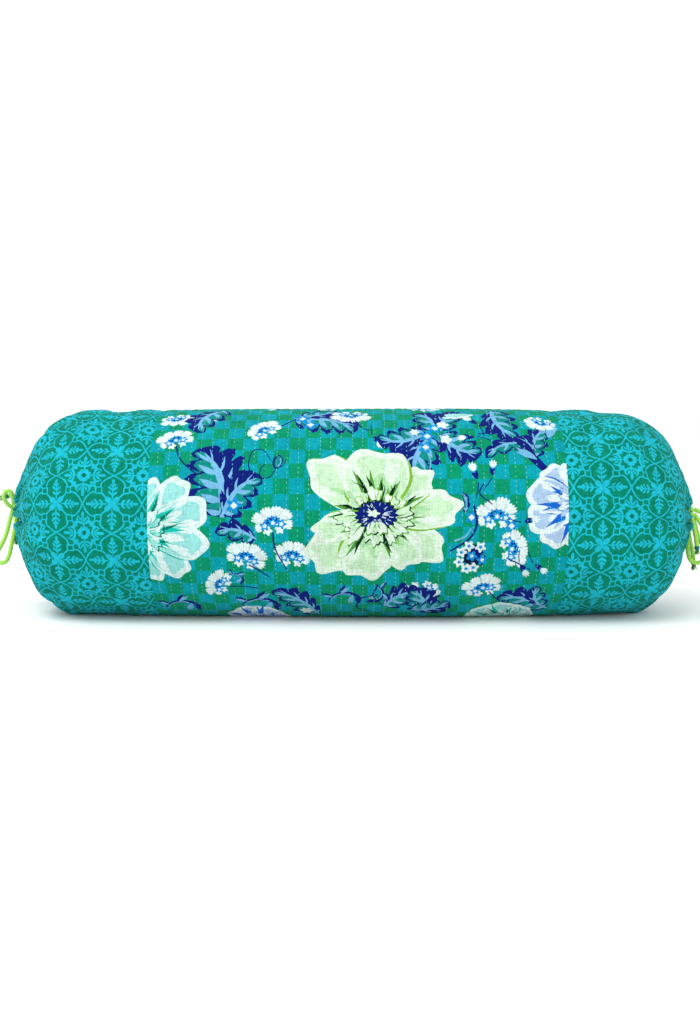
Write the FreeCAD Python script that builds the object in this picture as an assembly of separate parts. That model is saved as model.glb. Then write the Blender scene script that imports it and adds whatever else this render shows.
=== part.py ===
import FreeCAD, Part
import math
import os

# A bolster pillow, or neck roll, with drawstring ends. A stuffed inner pillow lies in a loose cover. The cover
# is a quilted middle panel sewn between two plain end panels. Each end panel is drawn together over the end of
# the roll by a cord that runs in a hem channel, and the cord is tied in a bow that hangs outside.
#
# Millimetres. X runs along the roll, Y points to its back and Z up. The origin is on the floor, under the
# middle of the roll. The stuffing is soft, so the roll stands on a flat patch and its axis is a little lower
# than its radius.

# ---- the roll ----
LENGTH = 700.0  # from end to end, without the bows
RADIUS = 107.0
TIP_FLAT = 5.0  # the very tip of each end is a flat disc of this radius
SAG = 6.0  # how far the soft roll settles on its flat patch
DOME_DEPTH = 80.0  # each end rounds off over this length
MIDDLE_WIDTH = 400.0  # the quilted panel, between its two seams
MIDDLE_SHIFT = 4.5  # the loose cover has slid this far towards the right end

HALF = LENGTH / 2
AXIS_Z = RADIUS - SAG
SHOULDER_X = HALF - DOME_DEPTH
BIG = 3 * LENGTH  # longer than anything here, for cutting tools

# ---- layers, as depths below the outer surface ----
FACE_CLOTH = 1.0  # the printed cloth
QUILT_GAP = 0.4  # the quilting threads run between the printed cloth and its lining
LINING_CLOTH = 0.7
SEAM_LAYERS = 1.2  # seam allowances, folded flat inside
INNER_DEPTH = 4.0  # the inner pillow starts here
INNER_CLOTH = 0.7
INNER_SEAM = 0.8
FILL_CLEARANCE = 0.1

LINING_DEPTH = FACE_CLOTH + QUILT_GAP
LINING_END = LINING_DEPTH + LINING_CLOTH
CASING_END = INNER_DEPTH + INNER_CLOTH
FILL_DEPTH = CASING_END + INNER_SEAM + FILL_CLEARANCE
INNER_DOME = 65.0  # the inner pillow's ends are shorter, which leaves room for the gathers
INNER_DISC_X = SHOULDER_X + 40.0  # where the inner tube is sewn to its end discs

# ---- quilting and seams ----
QUILT_ROWS = 38
QUILT_PITCH = 10.4
THREAD_WIDTH = 0.6
SEAM_ALLOWANCE = 12.0
BACK_SEAM_Z = AXIS_Z - 40.0  # the seam along the roll lies low on its back

# ---- the gathered mouth and its cord ----
CORD_RADIUS = 2.2
CHANNEL_RING = 12.0  # from the roll's axis to the middle of the hem channel
CHANNEL_RADIUS = 4.5
CHANNEL_BORE = 2.6
CHANNEL_X = HALF - 9.0
RIM_RADIUS = 24.0  # the crest of the gathers round the sunken mouth
RIM_ROLL = (HALF - 3.4, 19.2)  # the rim rolls inwards through this (x, radius)
MOUTH_RADIUS = 17.0
EXIT_WIDTH = 10.0  # the slit in the channel where both ends of the cord come out
EXIT_HEIGHT = 4.8

# ---- the bows, as distances from the middle of the roll's end: outwards, back and up ----
NECK_ROOT = (-2.0, 2.6, CHANNEL_RING)
KNOT_RADIUS = 5.5
SWING_GAP = 0.3  # between the knot and whatever moves against it
RUN_SHARE = 0.45  # of a run is taken by the arc at its end
WHIPPING_LENGTH = 4.0
WHIPPING_WALL = 0.6
WHIPPING_CLEARANCE = 0.05
TUFT_LENGTH = 6.5
TUFT_RADIUS = 3.1

# Each knot swings sideways with what is in "with_knot". What is in "hanging" also lifts outwards, about the
# middle of the knot, so it stops short of the knot by a small gap.
LEFT_KNOT = (1.5, 0.0, 8.0)
LEFT_BOW = {
    "with_knot": {
        "short_loop": [(2.9, -3.4, 11.4), (2.4, -6.6, 18.8), (4.4, -8.2, 25.0), (9.4, -8.7, 25.0),
                       (12.2, -8.4, 18.6), (9.6, -7.2, 12.0), (4.4, -4.4, 6.8)],
        "short_tail": [(3.2, 4.3, 8.9), (3.2, 9.9, 11.4), (5.0, 11.6, 16.8), (9.6, 9.8, 19.0), (15.4, 7.6, 17.4)],
    },
    "hanging": {
        "long_loop": [(5.0, 0.9, 5.0), (8.8, 0.8, -5.0), (11.2, 0.5, -16.0), (15.2, 0.3, -27.0),
                      (20.8, 0.2, -36.5), (25.0, 0.3, -44.5), (22.8, 0.6, -51.5), (15.3, 0.8, -51.8),
                      (10.8, 1.0, -44.5), (8.6, 1.0, -34.5), (5.8, 0.5, -23.0), (2.6, -0.6, -11.5), (1.0, -1.2, 3.2)],
        "long_tail": [(1.9, 3.5, 3.6), (3.4, 8.9, -2.8), (4.0, 9.6, -11.4), (5.2, 9.0, -21.0), (5.0, 8.6, -28.0)],
    },
}
RIGHT_KNOT = (1.5, 0.0, 4.0)
RIGHT_BOW = {
    "with_knot": {},
    "hanging": {
        "short_loop": [(5.6, -1.8, 5.4), (12.0, -4.5, 2.6), (20.0, -6.5, -3.0), (27.5, -7.0, -9.5),
                       (31.5, -7.0, -17.5), (27.5, -6.5, -24.0), (20.0, -6.0, -21.5), (14.5, -5.5, -13.5),
                       (10.0, -4.0, -5.5), (5.6, -2.0, 0.6)],
        "long_loop": [(4.2, 2.2, 0.2), (8.0, 3.4, -8.0), (11.0, 3.8, -18.5), (15.0, 3.5, -29.5),
                      (20.5, 3.0, -38.5), (21.2, 2.5, -47.5), (13.6, 2.0, -52.6), (4.6, 1.0, -50.2),
                      (1.2, 0.5, -41.0), (1.0, 0.0, -29.0), (1.2, -0.4, -16.0), (0.5, -0.6, -0.8)],
        "short_tail": [(1.8, -4.4, 1.6), (2.4, -8.6, -5.4), (4.2, -10.0, -15.6), (6.8, -9.8, -26.4),
                       (8.0, -9.2, -36.0)],
        "long_tail": [(1.7, 4.9, 2.8), (2.8, 8.6, -5.0), (4.2, 9.6, -17.0), (6.2, 9.2, -30.0),
                      (9.6, 8.4, -42.6), (10.4, 8.0, -55.0)],
    },
}


def save(name, *solids):
    """Writes one node: a single solid, or a group of separate ones."""
    shape = solids[0] if len(solids) == 1 else Part.makeCompound(list(solids))
    if not shape.isValid():
        raise ValueError(f"{name} is not a valid shape")
    shape.exportStep(f"parts/{name}.step")
    print(f"{name}: {len(shape.Solids)} solid(s), {shape.Volume / 1000:.2f} cm3")


# ---- the roll's shape ----
def dome_arc(side, radius, depth, low=0.0, high=math.pi / 2):
    """The elliptical outline of one end, from its shoulder to its tip."""
    centre = FreeCAD.Vector(side * SHOULDER_X, 0, 0)
    top = centre + FreeCAD.Vector(0, 0, radius)
    tip = centre + FreeCAD.Vector(side * depth, 0, 0)
    return Part.ArcOfEllipse(Part.Ellipse(top, tip, centre), low, high)


def turned(edges):
    """Turns a closed outline about the roll's axis."""
    face = Part.Face(Part.Wire(Part.__sortEdges__(edges)))
    solid = face.revolve(FreeCAD.Vector(0, 0, 0), FreeCAD.Vector(1, 0, 0), 360)
    solid.translate(FreeCAD.Vector(0, 0, AXIS_Z))
    return solid


def above(solid, height):
    """What is left of a solid above a height."""
    keep = Part.makeBox(BIG, BIG, BIG, FreeCAD.Vector(-BIG / 2, -BIG / 2, height))
    return solid.common(keep).Solids[0]


def roll(depth, dome_depth):
    """The whole roll, at a depth below its outer surface, standing on its flat patch."""
    radius = RADIUS - depth
    end = math.acos(TIP_FLAT / radius)
    edges, corners = [], []
    for side in (-1, 1):
        arc = dome_arc(side, radius, dome_depth, 0.0, end).toShape()
        shoulder = FreeCAD.Vector(side * SHOULDER_X, 0, radius)
        tip = min((vertex.Point for vertex in arc.Vertexes), key=lambda point: point.z)
        centre = FreeCAD.Vector(tip.x, 0, 0)
        edges += [arc, Part.makeLine(tip, centre)]
        corners.append((shoulder, centre))
    (left_shoulder, left_centre), (right_shoulder, right_centre) = corners
    edges += [Part.makeLine(left_shoulder, right_shoulder), Part.makeLine(left_centre, right_centre)]
    return above(turned(edges), depth)


def slab(low_x, high_x):
    return Part.makeBox(high_x - low_x, BIG, BIG, FreeCAD.Vector(low_x, -BIG / 2, -BIG / 2))


def layer(outer, inner, low_x, high_x):
    """A skin between two nested rolls, between two planes across the roll."""
    return outer.cut(inner).common(slab(low_x, high_x)).Solids[0]


def side_range(side, near, far):
    """Two distances from the middle as low and high X on that side."""
    return sorted((side * near, side * far))


def to_side(solid, side):
    """Turns a piece that was made for the right end round to the given end."""
    if side < 0:
        solid.rotate(FreeCAD.Vector(0, 0, 0), FreeCAD.Vector(0, 0, 1), 180)
    return solid


def seam_distance(side):
    """How far the panel seam on that side is from the middle of the roll."""
    return MIDDLE_WIDTH / 2 + side * MIDDLE_SHIFT


# ---- the cover ----
def end_panel(side):
    """One end panel: a tube, then a dome that rolls over the rim into the sunken mouth."""
    outlines = []
    for depth in (0.0, FACE_CLOTH):
        radius, dome = RADIUS - depth, DOME_DEPTH - depth
        seam = FreeCAD.Vector(seam_distance(side), 0, radius)
        shoulder = FreeCAD.Vector(SHOULDER_X, 0, radius)
        arc = dome_arc(1, radius, dome, 0.0, math.acos(RIM_RADIUS / radius)).toShape()
        crest = min((vertex.Point for vertex in arc.Vertexes), key=lambda point: point.z)
        roll_over = FreeCAD.Vector(RIM_ROLL[0] - depth, 0, RIM_ROLL[1] + depth)
        mouth = FreeCAD.Vector(CHANNEL_X, 0, MOUTH_RADIUS + depth)
        rim = Part.Arc(crest, roll_over, mouth).toShape()
        outlines.append(([Part.makeLine(seam, shoulder), arc, rim], seam, mouth))
    (outer, outer_seam, outer_mouth), (inner, inner_seam, inner_mouth) = outlines
    ends = [Part.makeLine(outer_seam, inner_seam), Part.makeLine(outer_mouth, inner_mouth)]
    skin = turned(outer + inner + ends)
    # The floor flattens the skin, which keeps its thickness there.
    under = Part.makeBox(BIG, BIG, BIG, FreeCAD.Vector(-BIG / 2, -BIG / 2, -BIG))
    reach_x = SHOULDER_X + DOME_DEPTH * math.sin(math.acos(AXIS_Z / RADIUS))
    patch = roll(0.0, DOME_DEPTH).cut(above(roll(0.0, DOME_DEPTH), FACE_CLOTH))
    patch = patch.common(slab(seam_distance(side), reach_x)).Solids[0]
    panel = skin.cut(under).fuse(patch).removeSplitter().Solids[0]
    return to_side(panel.cut(channel_ring(CHANNEL_RADIUS)).Solids[0], side)


def channel_ring(radius):
    """A ring round the right end's mouth, with this radius of section."""
    return Part.makeTorus(CHANNEL_RING, radius, FreeCAD.Vector(CHANNEL_X, 0, AXIS_Z), FreeCAD.Vector(1, 0, 0))


def channel(side):
    """The hem channel round the mouth, with the slit that lets the cord out."""
    corner = FreeCAD.Vector(CHANNEL_X, -EXIT_WIDTH / 2, AXIS_Z + CHANNEL_RING - EXIT_HEIGHT / 2)
    slit = Part.makeBox(2 * CHANNEL_RADIUS, EXIT_WIDTH, EXIT_HEIGHT, corner)
    hem = channel_ring(CHANNEL_RADIUS).cut(channel_ring(CHANNEL_BORE)).cut(slit)
    return to_side(hem.Solids[0], side)


def channel_cord(side):
    """The stretch of cord inside the channel, open where its two ends come out."""
    gap = Part.makeBox(BIG, CORD_RADIUS, BIG, FreeCAD.Vector(-BIG / 2, -CORD_RADIUS / 2, AXIS_Z))
    return to_side(channel_ring(CORD_RADIUS).cut(gap).Solids[0], side)


def channel_stitching(side):
    """The row of stitching that closes the hem channel, as a flat ring about the roll's axis."""
    start = FreeCAD.Vector(CHANNEL_X - CHANNEL_RADIUS / 2, 0, AXIS_Z)
    along = FreeCAD.Vector(1, 0, 0)
    outer = Part.makeCylinder(MOUTH_RADIUS, THREAD_WIDTH, start, along)
    ring = outer.cut(Part.makeCylinder(MOUTH_RADIUS - QUILT_GAP, THREAD_WIDTH, start, along))
    return to_side(ring.cut(channel_ring(CHANNEL_RADIUS)).Solids[0], side)


def back_seam(depth, low_x, high_x):
    """A folded strip along the roll, on the inside of its back."""
    thickness = SEAM_LAYERS
    skin = roll(depth, DOME_DEPTH).cut(roll(depth + thickness, DOME_DEPTH - thickness))
    corner = FreeCAD.Vector(low_x, 0, BACK_SEAM_Z - SEAM_ALLOWANCE / 2)
    return skin.common(Part.makeBox(high_x - low_x, BIG, SEAM_ALLOWANCE, corner)).Solids[0]


# ---- the cords ----
def place(side, point):
    """A point given from the middle of a roll's end: outwards, back and up."""
    return FreeCAD.Vector(side * (HALF + point[0]), point[1], AXIS_Z + point[2])


def cord_wire(points):
    """Straight runs joined by tangent arcs, and the smallest radius of those arcs."""
    edges, start, smallest = [], points[0], math.inf
    for before, corner, after in zip(points, points[1:], points[2:]):
        run_in, run_out = corner - before, after - corner
        turn = run_in.getAngle(run_out)
        cut = RUN_SHARE * min(run_in.Length, run_out.Length)
        radius = cut / math.tan(turn / 2)
        smallest = min(smallest, radius)
        towards, away = FreeCAD.Vector(run_in).normalize(), FreeCAD.Vector(run_out).normalize()
        arc_start, arc_end = corner - towards * cut, corner + away * cut
        to_centre = (away - towards).normalize()
        centre = corner + to_centre * math.hypot(radius, cut)
        edges.append(Part.makeLine(start, arc_start))
        edges.append(Part.Arc(arc_start, centre - to_centre * radius, arc_end).toShape())
        start = arc_end
    edges.append(Part.makeLine(start, points[-1]))
    return Part.Wire(edges), smallest


def cord(name, points, stop):
    """A tube along a route, from one side of the knot to another or to a free end."""
    wire, smallest = cord_wire(points)
    heading = points[1] - points[0]
    section = Part.Wire(Part.makeCircle(CORD_RADIUS, points[0], heading))
    tube = wire.makePipeShell([section], True, True)
    expected = math.pi * CORD_RADIUS**2 * wire.Length
    share = tube.Volume / expected
    if not 0.999 < share < 1.001:
        raise ValueError(f"{name} holds {share:.3f} of its section times its length")
    print(f"{name}: {wire.Length:.1f} mm long, smallest radius {smallest:.1f} mm")
    return max(tube.cut(stop).Solids, key=lambda piece: piece.Volume)


def tail_end(points):
    """The thread whipping near a tail's tip, and the tuft of fibres beyond it."""
    tip, heading = points[-1], (points[-1] - points[-2]).normalize()
    inner = CORD_RADIUS + WHIPPING_CLEARANCE
    start = tip - heading * WHIPPING_LENGTH
    sleeve = Part.makeCylinder(inner + WHIPPING_WALL, WHIPPING_LENGTH, start, heading)
    whipping = sleeve.cut(Part.makeCylinder(inner, WHIPPING_LENGTH, start, heading))
    tuft = Part.makeCone(CORD_RADIUS, TUFT_RADIUS, TUFT_LENGTH, tip, heading)
    return whipping, tuft


def neck(side, knot_at, hollow):
    """The two cord ends between the channel's slit and the knot, with rounded roots."""
    strands = []
    for back in (-NECK_ROOT[1], NECK_ROOT[1]):
        root = place(side, (NECK_ROOT[0], back, NECK_ROOT[2]))
        inside = place(side, (knot_at[0], back, knot_at[2]))
        heading = inside - root
        strand = Part.makeCylinder(CORD_RADIUS, heading.Length, root, heading)
        strand = strand.fuse(Part.makeSphere(CORD_RADIUS, root))
        strands.append(max(strand.cut(hollow).Solids, key=lambda piece: piece.Volume))
    return strands


def bow(name, side, knot_at, groups):
    """Writes one bow: its neck, knot, two loops and two whipped tails."""
    centre = place(side, knot_at)
    knot = Part.makeSphere(KNOT_RADIUS, centre)
    hollow = Part.makeSphere(KNOT_RADIUS + SWING_GAP, centre)
    save(f"{name}_bow_neck", *neck(side, knot_at, hollow))
    save(f"{name}_bow_knot", knot)
    for group, routes in groups.items():
        stop = hollow if group == "hanging" else knot
        for kind, route in routes.items():
            points = [place(side, p) for p in route]
            save(f"{name}_bow_{kind}", cord(f"{name} {kind}", points, stop))
            if kind.endswith("tail"):
                whipping, tuft = tail_end(points)
                save(f"{name}_bow_{kind}_whipping", whipping)
                save(f"{name}_bow_{kind}_tuft", tuft)


# ---- the whole pillow ----
def inner_pillow():
    """The stuffed roll inside the cover: a casing of one tube and two end discs, round loose fibre."""
    outer = roll(INNER_DEPTH, INNER_DOME)
    inner = roll(CASING_END, INNER_DOME - INNER_CLOTH)
    save("inner_casing_tube", layer(outer, inner, -INNER_DISC_X, INNER_DISC_X))
    seam_end = roll(CASING_END + INNER_SEAM, INNER_DOME - INNER_CLOTH - INNER_SEAM)
    for name, side in (("left", -1), ("right", 1)):
        save(f"inner_casing_{name}_disc", to_side(layer(outer, inner, INNER_DISC_X, HALF), side))
        seam = layer(inner, seam_end, INNER_DISC_X - INNER_SEAM, INNER_DISC_X + INNER_SEAM)
        save(f"inner_casing_{name}_seam", to_side(seam, side))
    save("fibre_filling", roll(FILL_DEPTH, INNER_DOME - (FILL_DEPTH - INNER_DEPTH)))


def middle_panel():
    """The printed cloth, its lining, and the rows of quilting thread between them."""
    face_out, face_in = roll(0.0, DOME_DEPTH), roll(FACE_CLOTH, DOME_DEPTH - FACE_CLOTH)
    lining_out, lining_in = roll(LINING_DEPTH, DOME_DEPTH), roll(LINING_END, DOME_DEPTH)
    seam_xs = -seam_distance(-1), seam_distance(1)
    save("middle_panel", layer(face_out, face_in, *seam_xs))
    save("middle_panel_lining", layer(lining_out, lining_in, *seam_xs))
    sandwich = face_in.cut(lining_out)
    rows = []
    for row in range(QUILT_ROWS):
        middle = MIDDLE_SHIFT + (row - (QUILT_ROWS - 1) / 2) * QUILT_PITCH
        rows.append(sandwich.common(slab(middle - THREAD_WIDTH / 2, middle + THREAD_WIDTH / 2)).Solids[0])
    save("quilting_threads", *rows)


def seams():
    """The folded seam allowances and their stitching, all on the inside of the cover."""
    for name, side in (("left", -1), ("right", 1)):
        under_cloth = roll(FACE_CLOTH, DOME_DEPTH)
        stitch_end = roll(LINING_DEPTH, DOME_DEPTH)
        allowance_end = roll(FACE_CLOTH + SEAM_LAYERS, DOME_DEPTH)
        seam = seam_distance(side)
        stitches = side_range(side, seam, seam + THREAD_WIDTH)
        save(f"{name}_panel_seam_stitching", layer(under_cloth, stitch_end, *stitches))
        folded = side_range(side, seam + THREAD_WIDTH, seam + SEAM_ALLOWANCE)
        save(f"{name}_panel_seam_allowance", layer(under_cloth, allowance_end, *folded))
        strip = back_seam(FACE_CLOTH, *side_range(side, seam + SEAM_ALLOWANCE + 1.0, SHOULDER_X))
        save(f"{name}_back_seam_allowance", strip)
    middle = back_seam(LINING_END, -seam_distance(-1), seam_distance(1))
    save("middle_back_seam_allowance", middle)


def drawstring_ends():
    """The end panels, with their hem channels and the cord inside each."""
    for name, side in (("left", -1), ("right", 1)):
        save(f"{name}_end_panel", end_panel(side))
        save(f"{name}_cord_channel", channel(side))
        save(f"{name}_channel_cord", channel_cord(side))
        save(f"{name}_channel_stitching", channel_stitching(side))


os.makedirs("parts", exist_ok=True)
inner_pillow()
middle_panel()
seams()
drawstring_ends()
bow("left", -1, LEFT_KNOT, LEFT_BOW)
bow("right", 1, RIGHT_KNOT, RIGHT_BOW)
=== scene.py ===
import math

import bpy
import numpy as np
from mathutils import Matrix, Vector
from mathutils.geometry import delaunay_2d_cdt


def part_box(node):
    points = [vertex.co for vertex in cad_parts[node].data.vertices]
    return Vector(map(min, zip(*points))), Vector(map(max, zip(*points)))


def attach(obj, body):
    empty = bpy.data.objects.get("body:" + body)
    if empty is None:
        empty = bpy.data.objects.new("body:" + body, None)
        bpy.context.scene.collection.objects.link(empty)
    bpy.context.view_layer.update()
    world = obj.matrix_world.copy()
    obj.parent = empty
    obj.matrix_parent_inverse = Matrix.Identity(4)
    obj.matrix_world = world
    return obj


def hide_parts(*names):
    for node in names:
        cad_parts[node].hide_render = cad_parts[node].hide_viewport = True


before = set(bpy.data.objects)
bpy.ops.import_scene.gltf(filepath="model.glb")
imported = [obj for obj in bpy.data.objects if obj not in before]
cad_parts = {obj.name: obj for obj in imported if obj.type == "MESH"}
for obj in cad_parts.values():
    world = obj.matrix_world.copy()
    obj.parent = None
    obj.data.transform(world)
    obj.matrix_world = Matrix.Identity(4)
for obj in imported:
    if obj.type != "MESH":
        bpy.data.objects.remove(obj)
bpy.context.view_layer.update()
TAU = 2 * math.pi
MM = 0.001

# ---- sizes, from the frame ----
panel_low, panel_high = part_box("middle_panel")
ring_low, ring_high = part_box("right_cord_channel")
SEAM = {-1: panel_low.x, 1: panel_high.x}
AXIS_Z = (ring_low.z + ring_high.z) / 2
RADIUS = panel_high.z - AXIS_Z
CHANNEL_X = (ring_low.x + ring_high.x) / 2
HALF = CHANNEL_X + 9 * MM
DOME = 80 * MM
SHOULDER = HALF - DOME
GIRTH = TAU * RADIUS
BACK_SEAM = math.pi + math.asin(40 * MM / RADIUS)  # the angle of the seam along the roll
SIDES = {"left": -1, "right": 1}


def linear(*rgb):
    """An 8-bit display colour as linear values."""
    shares = (x / 255 for x in rgb)
    return tuple(c / 12.92 if c <= 0.04045 else ((c + 0.055) / 1.055) ** 2.4 for c in shares)


# ---- camera ----
def look_at(obj, target):
    obj.rotation_euler = (Vector(target) - obj.location).to_track_quat("-Z", "Y").to_euler()


camera = bpy.data.objects.new("camera", bpy.data.cameras.new("camera"))
bpy.context.scene.collection.objects.link(camera)
camera.data.lens = 38.5
camera.data.sensor_width = 36
CAMERA_DISTANCE = 1.15
CAMERA_ELEVATION = math.radians(6)
target = Vector((-3 * MM, 0, AXIS_Z - 0.5 * MM))
toward_camera = Vector((0, -math.cos(CAMERA_ELEVATION), math.sin(CAMERA_ELEVATION)))
camera.location = target + CAMERA_DISTANCE * toward_camera
look_at(camera, target)
bpy.context.scene.camera = camera


# ---- meshes ----
def mesh_object(name, points, faces, material=None, slot=None):
    mesh = bpy.data.meshes.new(name)
    mesh.from_pydata([tuple(p) for p in points], [], [tuple(f) for f in faces])
    mesh.polygons.foreach_set("use_smooth", [True] * len(mesh.polygons))
    obj = bpy.data.objects.new(name, mesh)
    bpy.context.scene.collection.objects.link(obj)
    if material:
        mesh.materials.append(material)
    return obj


def add_attribute(obj, name, kind, domain, values):
    attribute = obj.data.attributes.new(name, kind, domain)
    key = {"FLOAT": "value", "FLOAT_VECTOR": "vector", "FLOAT_COLOR": "color"}[kind]
    attribute.data.foreach_set(key, np.asarray(values, np.float32).ravel())


def join(parts):
    """Points and faces of several pieces as one."""
    points, faces, start = [], [], 0
    for p, f in parts:
        points.append(np.asarray(p))
        faces += [tuple(i + start for i in face) for face in f]
        start += len(p)
    return np.concatenate(points), faces


def quads(rings, around, joined=False):
    """Faces between rings of points, and from the last ring to the first one if they are joined."""
    return [
        (i * around + j, i * around + (j + 1) % around, n * around + (j + 1) % around, n * around + j)
        for i, n in ((i, (i + 1) % rings) for i in range(rings if joined else rings - 1))
        for j in range(around)
    ]


def tube_faces(rings, around):
    """A tube's sides and its two flat ends."""
    last = (rings - 1) * around
    return [*quads(rings, around), tuple(range(around))[::-1], tuple(last + j for j in range(around))]


# ---- cords: their routes, in millimetres from the middle of each end: outwards, back and up ----
CORD_RADIUS = 2.2 * MM
KNOT = {"left": (1.5, 0.0, 8.0), "right": (1.5, 0.0, 4.0)}
LEFT_SHORT_LOOP = [
    (2.9, -3.4, 11.4), (2.4, -6.6, 18.8), (4.4, -8.2, 25.0), (9.4, -8.7, 25.0), (12.2, -8.4, 18.6),
    (9.6, -7.2, 12.0), (4.4, -4.4, 6.8),
]  # fmt: skip
LEFT_SHORT_TAIL = [(3.2, 4.3, 8.9), (3.2, 9.9, 11.4), (5.0, 11.6, 16.8), (9.6, 9.8, 19.0), (15.4, 7.6, 17.4)]
LEFT_LONG_LOOP = [
    (5.0, 0.9, 5.0), (8.8, 0.8, -5.0), (11.2, 0.5, -16.0), (15.2, 0.3, -27.0), (20.8, 0.2, -36.5),
    (25.0, 0.3, -44.5), (22.8, 0.6, -51.5), (15.3, 0.8, -51.8), (10.8, 1.0, -44.5), (8.6, 1.0, -34.5),
    (5.8, 0.5, -23.0), (2.6, -0.6, -11.5), (1.0, -1.2, 3.2),
]  # fmt: skip
LEFT_LONG_TAIL = [(1.9, 3.5, 3.6), (3.4, 8.9, -2.8), (4.0, 9.6, -11.4), (5.2, 9.0, -21.0), (5.0, 8.6, -28.0)]
RIGHT_SHORT_LOOP = [
    (5.6, -1.8, 5.4), (12.0, -4.5, 2.6), (20.0, -6.5, -3.0), (27.5, -7.0, -9.5), (31.5, -7.0, -17.5),
    (27.5, -6.5, -24.0), (20.0, -6.0, -21.5), (14.5, -5.5, -13.5), (10.0, -4.0, -5.5), (5.6, -2.0, 0.6),
]  # fmt: skip
RIGHT_LONG_LOOP = [
    (4.2, 2.2, 0.2), (8.0, 3.4, -8.0), (11.0, 3.8, -18.5), (15.0, 3.5, -29.5), (20.5, 3.0, -38.5),
    (21.2, 2.5, -47.5), (13.6, 2.0, -52.6), (4.6, 1.0, -50.2), (1.2, 0.5, -41.0), (1.0, 0.0, -29.0),
    (1.2, -0.4, -16.0), (0.5, -0.6, -0.8),
]  # fmt: skip
RIGHT_SHORT_TAIL = [
    (1.8, -4.4, 1.6), (2.4, -8.6, -5.4), (4.2, -10.0, -15.6), (6.8, -9.8, -26.4), (8.0, -9.2, -36.0),
]  # fmt: skip
RIGHT_LONG_TAIL = [
    (1.7, 4.9, 2.8), (2.8, 8.6, -5.0), (4.2, 9.6, -17.0), (6.2, 9.2, -30.0), (9.6, 8.4, -42.6),
    (10.4, 8.0, -55.0),
]  # fmt: skip


def place(side, point):
    out, back, up = point
    return Vector((side * (HALF + out * MM), back * MM, AXIS_Z + up * MM))


def smooth_line(points):
    """A NURBS spline's own line, with these as its control points."""
    curve = bpy.data.curves.new("line", "CURVE")
    curve.dimensions = "3D"
    spline = curve.splines.new("NURBS")
    spline.points.add(len(points) - 1)
    for p, co in zip(spline.points, points):
        p.co = (*co, 1)
    spline.order_u = 3
    spline.use_endpoint_u = True
    curve.resolution_u = 16
    obj = bpy.data.objects.new("line", curve)
    mesh = bpy.data.meshes.new_from_object(obj)
    line = np.array([v.co for v in mesh.vertices])
    bpy.data.meshes.remove(mesh)
    bpy.data.objects.remove(obj)
    bpy.data.curves.remove(curve)
    return line


def respaced(line, step):
    along = np.concatenate([[0], np.cumsum(np.linalg.norm(np.diff(line, axis=0), axis=1))])
    at = np.linspace(0, along[-1], max(2, round(along[-1] / step) + 1))
    return np.stack([np.interp(at, along, line[:, i]) for i in range(3)], 1), at


def frames(line):
    """Two directions across a line at each point, turning as little as possible."""
    ahead = np.gradient(line, axis=0)
    ahead /= np.linalg.norm(ahead, axis=1)[:, None]
    across = np.cross(ahead[0], (0, 0, 1) if abs(ahead[0][2]) < 0.9 else (1, 0, 0))
    first = []
    for a in ahead:
        across = across - a * (across @ a)
        across /= np.linalg.norm(across)
        first.append(across)
    first = np.array(first)
    return first, np.cross(ahead, first)


def rings_along(line, out, around):
    """Rings of points across a line. out is how far each point is from the line."""
    one, two = frames(line)
    angle = np.linspace(0, TAU, around, endpoint=False)
    direction = np.cos(angle)[:, None] * one[:, None] + np.sin(angle)[:, None] * two[:, None]
    return (line[:, None] + out[..., None] * direction).reshape(-1, 3)


BRAID_PITCH = 7.5 * MM
BRAID_STRANDS = 4
BRAID_AROUND = 24
BRAID_STEP = 0.45 * MM


def cord_piece(name, line):
    """A cord with the crossing strands of a round braid. Returns it and the points that it follows."""
    line, at = respaced(line, BRAID_STEP)
    phase = BRAID_STRANDS / 2 * np.linspace(0, TAU, BRAID_AROUND, endpoint=False)
    twist = (math.pi * BRAID_STRANDS / 2 * at / BRAID_PITCH)[:, None]
    over, under = np.abs(np.cos(phase + twist)), np.abs(np.cos(phase - twist))
    height = np.maximum(over, under) ** 0.6
    points = rings_along(line, CORD_RADIUS * (0.9 + 0.12 * height), BRAID_AROUND)
    obj = mesh_object(name, points, tube_faces(len(line), BRAID_AROUND), LIME, "cord")
    # The strands' height goes to the cord's material, which uses it to paint shade into the grooves between
    # the strands.
    add_attribute(obj, "height", "FLOAT", "POINT", height.ravel())
    return obj, line


def thin_tube(line, radius, around=6):
    out = np.broadcast_to(radius, len(line))[:, None]
    return rings_along(line, out, around), tube_faces(len(line), around)


WHIPPING_TURNS = 7
WHIPPING_THREAD = 0.32 * MM


def whipping(name, centre):
    """Thread wound round a cord near its tip."""
    line, at = respaced(centre[-9:], 0.05 * MM)
    one, two = frames(line)
    turns = WHIPPING_TURNS * at / at[-1] * TAU
    coil = line + (CORD_RADIUS + 0.2 * MM) * (np.cos(turns)[:, None] * one + np.sin(turns)[:, None] * two)
    return mesh_object(name, *thin_tube(coil, WHIPPING_THREAD), WHIP, "whipping_thread")


TUFT_FIBRES = 46


def tuft(name, centre, seed):
    """Loose fibres beyond the whipping."""
    rng = np.random.default_rng(seed)
    ahead = centre[-1] - centre[-4]
    ahead /= np.linalg.norm(ahead)
    one, two = (d[-1] for d in frames(centre))
    root = centre[-1] - ahead * 0.8 * MM
    parts = []
    for _ in range(TUFT_FIBRES):
        r, a = math.sqrt(rng.uniform()) * 0.9, rng.uniform(0, TAU)
        out = (one * math.cos(a) + two * math.sin(a)) * r
        long, spread = rng.uniform(4.6, 6.6) * MM, rng.uniform(0.25, 0.75)
        bend = rng.normal(0, 0.5, 3) * MM
        t = np.linspace(0, 1, 6)[:, None]
        line = root + out * CORD_RADIUS * (0.9 + spread * t**1.5) + ahead * long * t + bend * t**2
        parts.append(thin_tube(line, np.linspace(0.3, 0.16, 6) * MM, 5))
    return mesh_object(name, *join(parts), LIME, "cord")


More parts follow.
